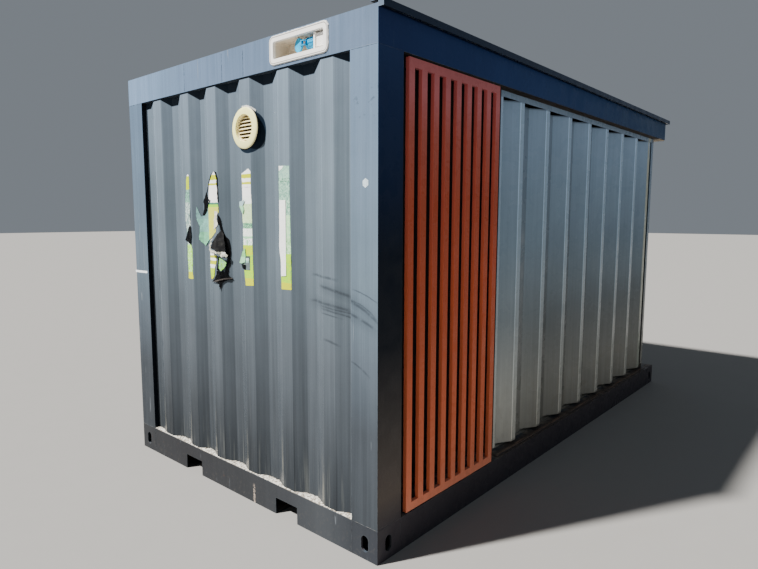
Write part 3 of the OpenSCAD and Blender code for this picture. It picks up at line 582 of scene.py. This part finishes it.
def inlet_white():
    """Off-white moulded plastic, tan inside the recess, partly dust and partly painted shade and warm
    reflection, with a dark band painted round the rim as the shade of a groove.
    """
    f = Finish("inlet_white", rough=0.35, specular=0.45)
    # Tan inside the recess: partly dust, partly painted shade and a painted warm reflection.
    recess = f.ramp(f.y, (-0.72, (0.93, 0.92, 0.9)), (-0.55, (0.68, 0.61, 0.5)))
    f.colour = f.over((0.92, 0.91, 0.88), recess, f.band(f.x, X_LEFT + 0.002, X_LEFT + 0.018))
    f.coat((0.56, 0.49, 0.39), f.spots(0.54, 0.76, 22, 5, 0.65, out=0.25))
    (_, y0, z0), (_, y1, z1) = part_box("inlet_housing")
    legs = []
    for value, lo, hi in ((f.y, y0, y1), (f.z, z0, z1)):
        beyond = f.minus(f.math("ABSOLUTE", f.minus(value, (lo + hi) / 2)), (hi - lo) / 2 - INLET_CORNER)
        legs.append(f.math("MAXIMUM", beyond, 0.0))
    off = f.distance(*legs)
    # Painted shade: a dark band round the rim, the shade of a groove.
    rim_groove = f.both(f.within(off, 0.0205, 0.0245, 0.0012), f.band(f.x, X_LEFT + 0.004, X_LEFT - 0.001))
    f.coat((0.14, 0.13, 0.12), rim_groove, 0.85)
    f.coat((0.26, 0.22, 0.17), f.edge(0.0015), f.spots(0.4, 0.64, 50), 0.4)
    f.raise_by(f.cloud(500, 2), 0.00004)
    return f.done(f.spots(0, 1, 24, out=0.66))


def inlet_blue():
    """Light blue moulded plastic, darker and dusty in the grooves."""
    f = Finish("inlet_blue", rough=0.38, specular=0.3)
    f.colour = f.over((0.0, 0.33, 0.62), (0.0, 0.44, 0.74), f.spots(0.35, 0.7, 30))
    f.shade(-0.45, f.edge(0.002))
    f.coat(DUST, f.band(f.facing("Z"), 0.4, 0.9), f.spots(0.42, 0.66, 80), 0.06)
    f.raise_by(f.cloud(700, 2), 0.00003)
    return f.done(f.spots(0, 1, 40, out=0.6))


def contact_metal():
    """Turned brass pins, dulled in patches."""
    f = Finish("contact_metal", rough=0.3, metal=1.0)
    f.colour = f.over((0.78, 0.6, 0.3), (0.34, 0.24, 0.12), f.spots(0.4, 0.65, 120, 5))
    f.raise_by(f.cloud(900, 2, stretch=(1, 1, 0.1)), 0.00003)
    return f.done(f.spots(0, 1, 160, out=0.6))


def paint_nodes():
    """Gives each slot the finish of its name, and the sheet behind the screen a darker one of its own."""
    coats = (
        frame_steel, wall_steel, roof_steel, cover_steel, screen_paint, soffit_board, floor_board,
        vent_plastic, inlet_white, inlet_blue, contact_metal,
    )
    of_slot = {coat.__name__: coat() for coat in coats}
    niche = niche_paint()
    for name, node in nodes.items():
        for slot in node.material_slots:
            coat = of_slot[slot.material.name.split(".")[0]]
            slot.material = niche if name in ("niche_wall", "screen_brackets") else coat
    return of_slot


# Pieces on the cabin's skin

def add_piece(name, bm, material, smooth=False):
    """A mesh piece that rides on the cabin."""
    mesh = bpy.data.meshes.new(name)
    bmesh.ops.recalc_face_normals(bm, faces=bm.faces)
    bm.to_mesh(mesh)
    bm.free()
    for p in mesh.polygons:
        p.use_smooth = smooth
    mesh.materials.append(material)
    piece = put_in_scene(name, mesh)
    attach(piece, "cabin")


def torn(outline, step, ragged):
    """The outline with points every step along it, each moved a little at random."""
    out = []
    for (ya, za), (yb, zb) in zip(outline, outline[1:] + outline[:1]):
        count = max(1, round(math.hypot(yb - ya, zb - za) / step))
        for i in range(count):
            t = i / count
            jag = ragged if i else 0
            out.append((
                ya + (yb - ya) * t + random.uniform(-jag, jag),
                za + (zb - za) * t + random.uniform(-jag, jag),
            ))
    return out


def film(name, outline, material, thick=0.0006, lift=None, cell=0.012, flat=None):
    """A thin film on the left end's sheet, or on the plane X = flat, with a gap of lift(y, z) behind it."""
    bm = bmesh.new()
    bm.faces.new([bm.verts.new((0, y, z)) for y, z in outline])
    ys, zs = zip(*outline)
    across, up, half = Vector((0, 1, 0)), Vector((0, 0, 1)), RIDGE_FLAT / 2
    bends = [r + s * d for r in LEFT_RIDGES for s in (-1, 1) for d in (half, half + RIDGE_SLOPE)]
    planes = [(across * y, across) for y in bends if flat is None and min(ys) < y < max(ys)]
    for way, lo, hi in ((across, min(ys), max(ys)), (up, min(zs), max(zs))):
        planes += [(way * (lo + i * cell), way) for i in range(1, math.ceil((hi - lo) / cell))]
    for at, normal in planes:
        geom = bm.verts[:] + bm.edges[:] + bm.faces[:]
        bmesh.ops.bisect_plane(bm, geom=geom, plane_co=at, plane_no=normal)
    bmesh.ops.triangulate(bm, faces=bm.faces)
    for v in bm.verts:
        y, z = v.co.y, v.co.z
        ground = sheet_x(y) if flat is None else flat
        v.co.x = ground - thick - (lift(y, z) if lift else 0)
    outer = bm.faces[:]
    bmesh.ops.recalc_face_normals(bm, faces=outer)
    if outer[0].normal.x > 0:
        bmesh.ops.reverse_faces(bm, faces=outer)
    bmesh.ops.solidify(bm, geom=outer, thickness=thick)
    add_piece(name, bm, material)


def from_edge(*points):
    """Points on the left end, in millimetres from the front edge and from the ground."""
    return [(Y_FRONT + a / 1000, z / 1000) for a, z in points]


def on_sheet(outline, off):
    """Points seen against the plane of the ridges, moved along the line of sight to just off the sheet."""
    out = []
    for y, z in outline:
        at = y
        for _ in range(40):
            t = (sheet_x(at) - off - CAMERA.x) / (SHEET_LEFT - CAMERA.x)
            at = CAMERA.y + (y - CAMERA.y) * t
        out.append((at, CAMERA.z + (z - CAMERA.z) * t))
    return out


def patch(name, material, step, ragged, outline, off=None, **how):
    """A torn film by its outline. With off, that is seen against the plane of the ridges."""
    points = from_edge(*outline)
    if off is not None:
        points = on_sheet(points, off)
    film(name, torn(points, step, ragged), material, **how)


def bands(*steps):
    """Ramp stops of plain bands. Each step is the height where a colour starts, and the colour."""
    stops = [steps[0]]
    for (_, below), (z, above) in zip(steps, steps[1:]):
        stops += [(z - 0.001, below), (z + 0.001, above)]
    return stops


def printed(name, steps, flecks=None, side=None, beyond=None):
    """A faded print: plain bands up the height, flecks in a second set and a third set beyond side."""
    f = Finish(name, specular=0.2)
    level = f.around(f.cloud(50), 0.004, f.z)
    f.colour = f.ramp(level, *bands(*steps))
    if side is not None:
        across = f.around(f.cloud(40), 0.004, f.y)
        f.coat(f.ramp(level, *bands(*beyond)), f.band(across, side - 0.001, side + 0.001))
    if flecks:
        f.coat(f.ramp(level, *bands(*flecks)), f.spots(0.49, 0.53, 85, 4, 0.72, warp=1.4))
    f.coat((0.34, 0.36, 0.32), f.spots(0.62, 0.8, 34, 5, 0.7, out=0.25))
    f.colour = f.scaled(f.colour, f.around(f.cloud(9, 4), 0.1))
    f.raise_by(f.cloud(60), 0.0004)
    return f.done(f.spots(0, 1, 50, 3, out=0.75))


YELLOW = (0.54, 0.58, 0.0)
LIME = (0.3, 0.68, 0.03)
GOLD_LIME = (0.46, 0.7, 0.0)
WHITE = (0.93, 0.95, 0.93)
MINT = (0.3, 0.62, 0.36)
PALE = (0.24, 0.44, 0.36)
TEAL = (0.065, 0.2, 0.13)
BUFF = (0.6, 0.62, 0.09)
LILAC = (0.3, 0.28, 0.34)


def crease(y, z, size, deep):
    """Sharp folds of a crumpled film."""
    a = abs(noise.noise(Vector((y / size, z / size, 1.7))))
    b = abs(noise.noise(Vector((y / size * 2.1, z / size * 1.9, 8.3))))
    return deep * (a + 0.5 * b)


def soft_film(name, dark, dust, amount):
    """Torn film with dust along its folds."""
    f = Finish(name, rough=0.6, specular=0.08)
    f.colour = f.over(dark, dust, f.spots(0.48, 0.74, 30, 5, 0.7, out=amount))
    f.raise_by(f.cloud(90), 0.0004)
    return f.done(f.spots(0, 1, 40, 3, out=0.8))


def gap(base):
    """The gap of a flat film."""
    return lambda y, z: base


def curl(z0, z1, high):
    """The gap of a film that has come off most in the middle between two heights."""
    return lambda y, z: high * max(0, 1 - abs(z - (z0 + z1) / 2) / ((z1 - z0) / 2)) ** 2


def folds(base, size, deep):
    """The gap of a crumpled film."""
    return lambda y, z: base + crease(y, z, size, deep)


def hood_gap(y, z):
    """The gap of the flap that hangs out from its upper edge."""
    down = min(1, max(0, (1.497 - z) / 0.12))
    return 0.004 + 0.014 * math.sin(down * math.pi / 2) + crease(y, z, 0.06, 0.006)


def loose_side(y, z):
    """The gap of the second sticker, flat on its near side and crumpled on its far one."""
    return 0.0005 + crease(y, z, 0.05, 0.006) * min(1, max(0, (y - Y_FRONT - 1.26) / 0.05))


def far_sticker(black):
    """The sticker farthest back, with a dark tear in it."""
    paint = printed(
        "print_far",
        [(1.19, YELLOW), (1.246, LIME), (1.41, (0.17, 0.28, 0.26)), (1.655, PALE), (1.73, YELLOW),
         (1.808, WHITE)],
        [(1.19, YELLOW), (1.246, (0.5, 0.82, 0.35)), (1.41, (0.56, 0.66, 0.63)), (1.655, TEAL),
         (1.73, GOLD_LIME), (1.808, WHITE)],
    )
    patch("sticker_far", paint, 0.01, 0.0012, [
        (1481, 1819), (1472, 1812), (1472, 1756), (1470, 1725), (1473, 1685), (1466, 1640), (1469, 1587),
        (1467, 1524), (1470, 1408), (1459, 1379), (1461, 1311), (1464, 1247), (1458, 1207), (1476, 1204),
        (1508, 1207), (1505, 1249), (1509, 1332), (1505, 1414), (1515, 1541), (1516, 1623), (1514, 1686),
        (1503, 1730), (1500, 1784), (1491, 1810),
    ], lift=curl(1.5, 1.66, 0.004))
    patch("sticker_far_tear", black, 0.012, 0.001, [
        (1475, 1524), (1501, 1478), (1523, 1434), (1494, 1424), (1468, 1407), (1459, 1456), (1462, 1515),
    ], lift=folds(0.002, 0.03, 0.006))


def second_sticker(black, pale):
    """The second sticker from the back: an upper part with a hole in it, and a foot."""
    paint = printed(
        "print_second",
        [(1.38, BUFF), (1.627, LIME), (1.64, TEAL), (1.651, WHITE), (1.746, YELLOW), (1.757, WHITE),
         (1.775, YELLOW), (1.803, WHITE)],
        side=Y_FRONT + 1.3,
        beyond=[(1.38, (0.16, 0.44, 0.27)), (1.485, (0.17, 0.38, 0.32)), (1.56, (0.15, 0.29, 0.28)),
                (1.64, PALE)],
    )
    patch("sticker_second", paint, 0.01, 0.0016, [
        (1221, 1821), (1203, 1810), (1195, 1789), (1191, 1738), (1187, 1688), (1185, 1645), (1182, 1595),
        (1199, 1586), (1224, 1552), (1212, 1492), (1259, 1452), (1287, 1436), (1296, 1425), (1312, 1407),
        (1347, 1424), (1382, 1440), (1369, 1516), (1396, 1547), (1408, 1582), (1400, 1631), (1380, 1604),
        (1354, 1573), (1314, 1582), (1286, 1604), (1272, 1647), (1273, 1690), (1266, 1753), (1249, 1791),
    ], 0.002, lift=loose_side)
    patch("sticker_second_core", pale, 0.008, 0.003, [
        (1213, 1606), (1184, 1597), (1197, 1561), (1187, 1531), (1203, 1516), (1227, 1496), (1223, 1561),
    ], lift=folds(0.0012, 0.03, 0.003))
    for name, outline in (
        ("edge", [
            (1221, 1823), (1244, 1808), (1260, 1783), (1278, 1737), (1300, 1700), (1290, 1700),
            (1271, 1735), (1257, 1774), (1241, 1799),
        ]),
        ("rim", [
            (1218, 1823), (1194, 1818), (1181, 1784), (1180, 1717), (1180, 1652), (1187, 1654),
            (1191, 1730), (1196, 1789), (1205, 1810),
        ]),
        ("hole", [
            (1291, 1714), (1281, 1681), (1252, 1663), (1268, 1642), (1297, 1600), (1318, 1572),
            (1336, 1580), (1318, 1630), (1327, 1660), (1308, 1686),
        ]),
    ):
        patch("sticker_second_" + name, black, 0.009, 0.0016, outline, 0.002, thick=0.0005,
              lift=folds(0.0004, 0.02, 0.003))
    foot_paint = printed(
        "print_second_foot",
        [(1.2, YELLOW), (1.232, GOLD_LIME), (1.284, WHITE), (1.304, YELLOW), (1.326, WHITE), (1.341, YELLOW),
         (1.356, WHITE)],
    )
    patch("sticker_second_foot", foot_paint, 0.01, 0.0014, [
        (1278, 1369), (1233, 1365), (1208, 1354), (1217, 1306), (1228, 1286), (1236, 1239), (1253, 1220),
        (1276, 1221), (1282, 1254), (1279, 1290), (1293, 1298), (1278, 1325),
    ], lift=folds(0.001, 0.04, 0.004))


def second_tears(black, grey, pale, dusty):
    """What is torn off the second sticker and still hangs on the sheet, from its top to its foot."""
    patch("torn_strip", black, 0.008, 0.0028, [
        (1181, 1586), (1164, 1561), (1151, 1523), (1138, 1488), (1160, 1490), (1173, 1523), (1195, 1544),
        (1186, 1565),
    ], 0.002, lift=folds(0.002, 0.03, 0.004))
    patch("torn_hood", grey, 0.014, 0.0014, [
        (1166, 1499), (1214, 1463), (1244, 1430), (1257, 1395), (1218, 1386), (1166, 1380), (1116, 1378),
        (1124, 1431), (1142, 1477),
    ], 0.014, thick=0.0012, lift=hood_gap, cell=0.01)
    patch("torn_fold", pale, 0.008, 0.003, [
        (1240, 1452), (1261, 1436), (1273, 1414), (1274, 1384), (1264, 1370), (1219, 1368), (1183, 1366),
        (1153, 1348), (1128, 1356), (1110, 1344), (1096, 1360), (1120, 1376), (1166, 1377), (1217, 1379),
        (1260, 1388), (1258, 1412),
    ], 0.018, thick=0.0012, cell=0.008, lift=lambda y, z: hood_gap(y, z) + 0.001 + crease(y, z, 0.022, 0.008))
    # The black tail takes in black that is partly the flap's shadow on the sheet: partly painted shadow.
    patch("torn_tail", black, 0.01, 0.0022, [
        (1156, 1497), (1140, 1491), (1118, 1467), (1094, 1455), (1078, 1424), (1072, 1383), (1076, 1341),
        (1084, 1302), (1098, 1284), (1102, 1245), (1128, 1243), (1134, 1268), (1120, 1299), (1108, 1328),
        (1104, 1350), (1118, 1376), (1126, 1435),
    ], 0.002, thick=0.001, lift=folds(0.001, 0.045, 0.004), cell=0.009)
    scrap_paint = printed("print_scrap", [(1.25, LIME), (1.3, MINT)], [(1.25, MINT), (1.3, LIME)])
    patch("torn_scrap", scrap_paint, 0.01, 0.0016, [
        (1182, 1345), (1153, 1336), (1112, 1319), (1132, 1294), (1168, 1270), (1188, 1287),
    ], 0.006, lift=folds(0.006, 0.03, 0.005))
    patch("torn_edge", black, 0.01, 0.0012, [
        (1197, 1353), (1177, 1343), (1189, 1282), (1197, 1270), (1213, 1273), (1203, 1312),
    ], 0.004, lift=folds(0.003, 0.03, 0.003))
    patch("torn_foot", black, 0.01, 0.002, [
        (1216, 1268), (1156, 1270), (1121, 1250), (1063, 1238), (1062, 1229), (1118, 1221), (1164, 1202),
        (1186, 1162), (1194, 1193), (1222, 1208), (1259, 1202), (1242, 1220), (1218, 1246),
    ], 0.004, thick=0.001, lift=folds(0.002, 0.022, 0.006), cell=0.007)
    patch("torn_roll", dusty, 0.008, 0.0008, [
        (1260, 1205), (1232, 1212), (1190, 1222), (1150, 1231), (1108, 1235), (1070, 1240), (1063, 1235),
        (1104, 1229), (1146, 1224), (1188, 1214), (1230, 1204),
    ], 0.01, thick=0.001, lift=folds(0.008, 0.03, 0.004), cell=0.007)


def third_sticker(black):
    """The third sticker, with a dark panel low on it and loose bits along its far edge."""
    head = [(1.741, YELLOW), (1.753, WHITE), (1.773, YELLOW), (1.794, WHITE)]
    paint = printed(
        "print_third",
        [(1.19, YELLOW), (1.248, GOLD_LIME), (1.373, YELLOW), (1.415, GOLD_LIME), (1.424, WHITE),
         (1.459, MINT), (1.47, WHITE), (1.511, TEAL), (1.54, (0.5, 0.72, 0.36)), (1.64, WHITE),
         (1.724, LILAC), (1.728, WHITE), *head],
        [(1.19, YELLOW), (1.248, LIME), (1.373, GOLD_LIME), (1.424, MINT), (1.47, (0.55, 0.75, 0.6)),
         (1.511, MINT), (1.54, (0.62, 0.8, 0.5)), (1.64, (0.8, 0.9, 0.8)), (1.68, WHITE), *head],
    )
    patch("sticker_third", paint, 0.01, 0.001, [
        (900, 1821), (882, 1805), (883, 1746), (883, 1699), (879, 1643), (879, 1548), (879, 1484),
        (880, 1419), (879, 1347), (877, 1286), (877, 1210), (944, 1206), (948, 1244), (955, 1300),
        (956, 1370), (957, 1412), (957, 1474), (955, 1535), (960, 1563), (962, 1629), (960, 1653),
        (955, 1664), (956, 1693), (956, 1749), (961, 1797),
    ])
    panel_paint = printed(
        "print_panel",
        [(1.28, (0.085, 0.115, 0.12)), (1.33, (0.055, 0.075, 0.08))],
        [(1.28, (0.13, 0.17, 0.17)), (1.33, (0.07, 0.09, 0.1))],
    )
    panel = from_edge((903, 1291), (953, 1290), (951, 1365), (901, 1366))
    film("sticker_third_panel", panel, panel_paint, lift=gap(0.0012))
    top_paint = printed("print_panel_top", [(1.32, PALE), (1.342, (0.46, 0.62, 0.56))])
    top = from_edge((911, 1331), (943, 1329), (942, 1354), (910, 1355))
    film("sticker_third_panel_top", top, top_paint, thick=0.0004, lift=gap(0.0022))
    curl_paint = printed("print_curl", [(1.55, MINT), (1.63, (0.34, 0.5, 0.52))])
    flap_paint = printed("print_flap", [(1.31, MINT), (1.36, (0.22, 0.56, 0.22))])
    for name, material, outline in (
        ("curl", curl_paint, [
            (940, 1662), (957, 1656), (984, 1653), (985, 1628), (969, 1604), (956, 1588), (948, 1612),
            (958, 1632), (945, 1650),
        ]),
        ("flap", flap_paint, [(945, 1409), (972, 1371), (996, 1327), (981, 1323), (947, 1331), (942, 1364)]),
        ("flap_back", black, [(981, 1321), (944, 1318), (946, 1292), (968, 1297)]),
    ):
        patch("sticker_third_" + name, material, 0.01, 0.001, outline, 0.005, lift=folds(0.003, 0.04, 0.004))


def near_sticker():
    """The nearest sticker, with a blank label strip down its far half."""
    paint = printed(
        "print_near",
        [(1.19, YELLOW), (1.246, LIME), (1.39, (0.24, 0.5, 0.24)), (1.47, MINT), (1.58, (0.15, 0.34, 0.24)),
         (1.656, (0.16, 0.34, 0.26)), (1.74, TEAL), (1.76, PALE)],
        [(1.19, YELLOW), (1.246, GOLD_LIME), (1.39, (0.5, 0.8, 0.46)), (1.58, (0.42, 0.66, 0.5)),
         (1.656, (0.36, 0.6, 0.46))],
    )
    patch("sticker_near", paint, 0.012, 0.0008, [
        (652, 1822), (576, 1818), (576, 1698), (575, 1624), (574, 1512), (572, 1400), (572, 1286),
        (572, 1213), (647, 1211), (648, 1281), (648, 1396), (658, 1425), (654, 1511), (654, 1625),
        (657, 1738),
    ], lift=curl(1.3, 1.42, 0.002))
    grey_fleck = (0.84, 0.87, 0.85)
    blank = printed("print_blank", [(1.27, WHITE), (1.81, WHITE)], [(1.27, grey_fleck), (1.81, WHITE)])
    patch("sticker_near_label", blank, 0.012, 0.0005, [
        (608, 1281), (645, 1277), (646, 1358), (659, 1425), (653, 1511), (651, 1655), (604, 1654),
    ], lift=gap(0.0028))
    patch("sticker_near_corner", blank, 0.01, 0.0006, [
        (653, 1821), (618, 1819), (630, 1806), (652, 1796),
    ], thick=0.0004, lift=gap(0.0008))


def stickers():
    """Four long stickers that hold on the ridges only, torn, with generic faded colour bands."""
    black = soft_film("black_film", (0.0016, 0.002, 0.0028), (0.012, 0.012, 0.013), 0.6)
    grey = soft_film("grey_film", (0.013, 0.013, 0.014), (0.034, 0.034, 0.032), 0.8)
    pale = soft_film("pale_film", (0.5, 0.49, 0.4), (0.94, 0.94, 0.88), 1.0)
    dusty = soft_film("dusty_film", (0.04, 0.036, 0.034), (0.2, 0.18, 0.16), 1.0)
    far_sticker(black)
    second_sticker(black, pale)
    second_tears(black, grey, pale, dusty)
    third_sticker(black)
    near_sticker()


def tag_and_tape():
    """A blank six-sided tag on the near post and a strip of white tape on the far one."""
    f = Finish("white_vinyl", specular=0.2)
    f.colour = f.over((0.56, 0.68, 0.74), (0.28, 0.35, 0.4), f.spots(0.45, 0.66, 90, 5, 0.7, out=0.7))
    f.raise_by(f.cloud(200), 0.0002)
    white = f.done()
    tag_y, tag_z, half_wide, half_high = -0.984, 1.717, 0.0185, 0.0205
    turns = [math.radians(60 * i + 90) for i in range(6)]
    tag = [(tag_y + half_wide * math.cos(a), tag_z + half_high * math.sin(a)) for a in turns]
    film("post_tag", torn(tag, 0.008, 0.0003), white, flat=X_LEFT)
    tape = [(0.944, 1.206), (1.096, 1.205), (1.096, 1.2185), (0.942, 1.22)]
    tape_paint = printed("post_tape", [(1.19, (0.8, 0.85, 0.88)), (1.23, WHITE)])
    film("post_tape", torn(tape, 0.008, 0.0009), tape_paint, flat=X_LEFT)


def skin(bm, rings, closed=False):
    """The faces between each ring of points and the next, and a cap on each open end."""
    for a, b in zip(rings, rings[1:] + (rings[:1] if closed else [])):
        for k in range(len(a)):
            n = (k + 1) % len(a)
            bm.faces.new((a[k], a[n], b[n], b[k]))
    if not closed:
        bm.faces.new(rings[0][::-1])
        bm.faces.new(rings[-1])


def sand_bank():
    """Pale sand and paint flakes on the base beam's top, deep in the valleys, thin at the ridges."""
    f = Finish("sand", rough=0.95, specular=0.1)
    f.colour = f.over((0.19, 0.165, 0.13), (0.6, 0.58, 0.52), f.spots(0.4, 0.58, 70, 5, 0.7))
    f.coat((0.035, 0.033, 0.03), f.spots(0.58, 0.66, 160, 4, 0.7, shift=(2, 2, 2)))
    f.colour = f.scaled(f.colour, f.around(f.cloud(900, 2), 0.5))
    f.raise_by(f.cloud(700), 0.0008)
    bm = bmesh.new()
    y0, y1, count, across = POST_Y + 0.001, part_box("base_beam_left")[1][1] - 0.001, 360, 6
    toe = 0.0022
    rows = []
    for i in range(count + 1):
        y = y0 + (y1 - y0) * i / count
        wall = sheet_x(y) + 0.0005
        wave = noise.noise(Vector((y * 16, 0.3, 0.7)))
        fine = noise.noise(Vector((y * 70, 2.3, 5.1)))
        edge = X_LEFT + 0.0015 + 0.001 * (1 + fine)
        deep = (wall - edge) / (RIDGE_DEPTH + 0.004)
        rise = (0.004 + 0.006 * deep ** 0.7) * (1 + 0.45 * wave + 0.4 * fine)
        row = [bm.verts.new((edge, y, BASE_TOP))]
        for j in range(across + 1):
            t = j / across
            lump = noise.noise(Vector((y * 90, t * 3, 9.0))) * 0.0014 * math.sin(t * math.pi)
            high = toe + (rise - toe) * t ** 0.8 + lump
            row.append(bm.verts.new((edge + (wall - edge) * t, y, BASE_TOP + high)))
        row.append(bm.verts.new((wall, y, BASE_TOP)))
        rows.append(row)
    skin(bm, rows)
    add_piece("sand_bank", bm, f.done(), smooth=True)


def bead(bm, path, radius, out, seed, wobble=0.25, closed=False, sides=8):
    """Adds an uneven bead along a path. out is the way that its back is turned from."""
    rings = []
    count = len(path)
    for i, p in enumerate(path):
        before = path[(i - 1) % count] if closed or i else p
        after = path[(i + 1) % count] if closed or i < count - 1 else p
        along = (after - before).normalized()
        side = along.cross(out).normalized()
        size = radius * (1 + wobble * noise.noise(Vector((i * 0.37, seed, 2.2))) * 2)
        if not closed and i in (0, count - 1):
            size *= 0.3
        ring = []
        for k in range(sides):
            a = 2 * math.pi * k / sides
            ring.append(bm.verts.new(p + side * math.cos(a) * size * 1.3 + out * math.sin(a) * size))
        rings.append(ring)
    skin(bm, rings, closed)


def line(a, b, step):
    """Points along the straight line from a to b."""
    a, b = Vector(a), Vector(b)
    count = max(2, round((b - a).length / step))
    return [a.lerp(b, i / count) for i in range(count + 1)]


def weld_seams(paint):
    """Ground welds where the posts meet the beams and the corner blocks, and on the left top beam."""
    bm = bmesh.new()
    left, back, right = Vector((-1, 0, 0)), Vector((0, 1, 0)), Vector((1, 0, 0))
    front = -back
    sunk, inset = 0.0008, 0.004
    x_left, x_right, y_front, y_back = X_LEFT + sunk, X_RIGHT - sunk, Y_FRONT + sunk, Y_BACK - sunk
    back_post_y, right_post_x = Y_BACK - POST_DEEP, X_RIGHT - POST_WIDE
    right_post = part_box("post_front_right")
    top_beam_joints = (0.419, 0.05, -0.136)
    seams = []
    for z in (BASE_TOP, BEAM_FOOT):
        seams += [
            ((x_left, Y_FRONT + inset, z), (x_left, POST_Y - inset, z), left),
            ((x_left, back_post_y + inset, z), (x_left, Y_BACK - inset, z), left),
            ((X_LEFT + inset, y_front, z), (POST_X - inset, y_front, z), front),
            ((X_LEFT + inset, y_back, z), (POST_X - inset, y_back, z), back),
            ((right_post_x + inset, y_back, z), (X_RIGHT - inset, y_back, z), back),
            ((x_right, back_post_y + inset, z), (x_right, Y_BACK - inset, z), right),
            ((x_right, right_post[0][1] + inset, z), (x_right, right_post[1][1] - inset, z), right),
        ]
    for y in (POST_Y, back_post_y):
        for x, out in ((x_left, left), (x_right, right)):
            seams.append(((x, y, inset), (x, y, BASE_TOP - inset), out))
    for x in (POST_X, right_post_x):
        for y, out in ((y_front, front), (y_back, back)):
            seams.append(((x, y, inset), (x, y, BASE_TOP - inset), out))
    for y in top_beam_joints:
        seams.append(((x_left, y, BEAM_FOOT + inset), (x_left, y, FRAME_TOP - inset), left))
    for i, (a, b, out) in enumerate(seams):
        bead(bm, line(a, b, 0.004), 0.0019, out, i * 3.1, 0.35, sides=6)
    add_piece("weld_seams", bm, paint, smooth=True)


def by_vent(radius, degrees):
    """Points around the vent's middle, by their angles above the horizontal on its near side."""
    turns = [math.radians(a) for a in degrees]
    return [(VENT_Y - radius * math.cos(a), VENT_Z + radius * math.sin(a)) for a in turns]


def sealant():
    """White sealant pressed round the power inlet's rim and smeared above the vent."""
    f = Finish("sealant", rough=0.6, specular=0.3)
    f.colour = f.over((0.66, 0.67, 0.66), (0.36, 0.38, 0.4), f.spots(0.42, 0.68, 60, 5, 0.7))
    f.raise_by(f.cloud(160), 0.0005)
    white = f.done()
    (_, y0, z0), (_, y1, z1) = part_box("inlet_housing")
    r = INLET_CORNER
    y0, z0, y1, z1 = y0 + r, z0 + r, y1 - r, z1 - r
    path = []
    for cy, cz, start in ((y1, z1, 0), (y0, z1, 90), (y0, z0, 180), (y1, z0, 270)):
        for i in range(9):
            a = math.radians(start + 90 * i / 8)
            path.append(Vector((X_LEFT, cy + r * math.cos(a), cz + r * math.sin(a))))
    even = []
    for a, b in zip(path, path[1:] + path[:1]):
        even += line(a, b, 0.006)[:-1]
    bm = bmesh.new()
    bead(bm, even, 0.003, Vector((-1, 0, 0)), 4.0, 0.45, closed=True)
    add_piece("inlet_sealant", bm, white, smooth=True)
    smear = by_vent(0.1065, range(46, 106, 6)) + by_vent(0.114, range(102, 44, -6))
    smear = torn(smear, 0.006, 0.002)
    film("vent_sealant", smear, white, thick=0.0016, cell=0.008, lift=folds(0, 0.02, 0.0015))


# Camera, at the photograph's place and angle, and soft studio light from the left

def make_camera():
    pitch, yaw, roll = math.radians(6.5526), math.radians(41.0499), math.radians(0.1151)
    ahead = Vector((math.cos(yaw), math.sin(yaw), 0))
    right = Vector((math.sin(yaw), -math.cos(yaw), 0))
    up = Vector((0, 0, 1))
    look = math.cos(pitch) * ahead - math.sin(pitch) * up
    top = math.sin(pitch) * ahead + math.cos(pitch) * up
    x_axis = math.cos(roll) * right + math.sin(roll) * top
    y_axis = -math.sin(roll) * right + math.cos(roll) * top
    data = bpy.data.cameras.new("camera")
    data.sensor_fit = "HORIZONTAL"
    data.sensor_width = 36.0
    data.lens = FOCAL_PIXELS / PHOTO_PIXELS * data.sensor_width
    data.clip_start, data.clip_end = 0.05, 200.0
    cam = put_in_scene("camera", data)
    m = Matrix((x_axis, y_axis, -look)).transposed().to_4x4()
    m.translation = CAMERA
    cam.matrix_world = m
    bpy.context.scene.camera = cam


def make_lights():
    sun = bpy.data.lights.new("key", "SUN")
    sun.energy = 12.0
    sun.angle = math.radians(3.0)
    sun.color = (1.0, 0.97, 0.93)
    o = put_in_scene("key", sun)
    o.rotation_mode = "QUATERNION"
    o.rotation_quaternion = Vector((1.0, -0.58, -1.35)).to_track_quat("-Z", "Y")
    world = bpy.data.worlds.new("studio")
    world.use_nodes = True
    sky = world.node_tree.nodes["Background"]
    sky.inputs["Color"].default_value = (0.8, 0.89, 1.0, 1.0)
    sky.inputs["Strength"].default_value = 0.24
    bpy.context.scene.world = world


def make_floor():
    mesh = bpy.data.meshes.new("floor")
    r = 60.0
    mesh.from_pydata([(-r, -r, 0), (r, -r, 0), (r, r, 0), (-r, r, 0)], [], [(0, 1, 2, 3)])
    o = put_in_scene("floor", mesh)
    f = Finish("floor", rough=0.9, specular=0.2)
    f.colour = f.scaled((0.262, 0.256, 0.245), f.around(f.cloud(6), 0.02))
    o.data.materials.append(f.done())


make_camera()
make_lights()
make_floor()
finishes = paint_nodes()
stickers()
tag_and_tape()
sand_bank()
weld_seams(finishes["frame_steel"])
sealant()
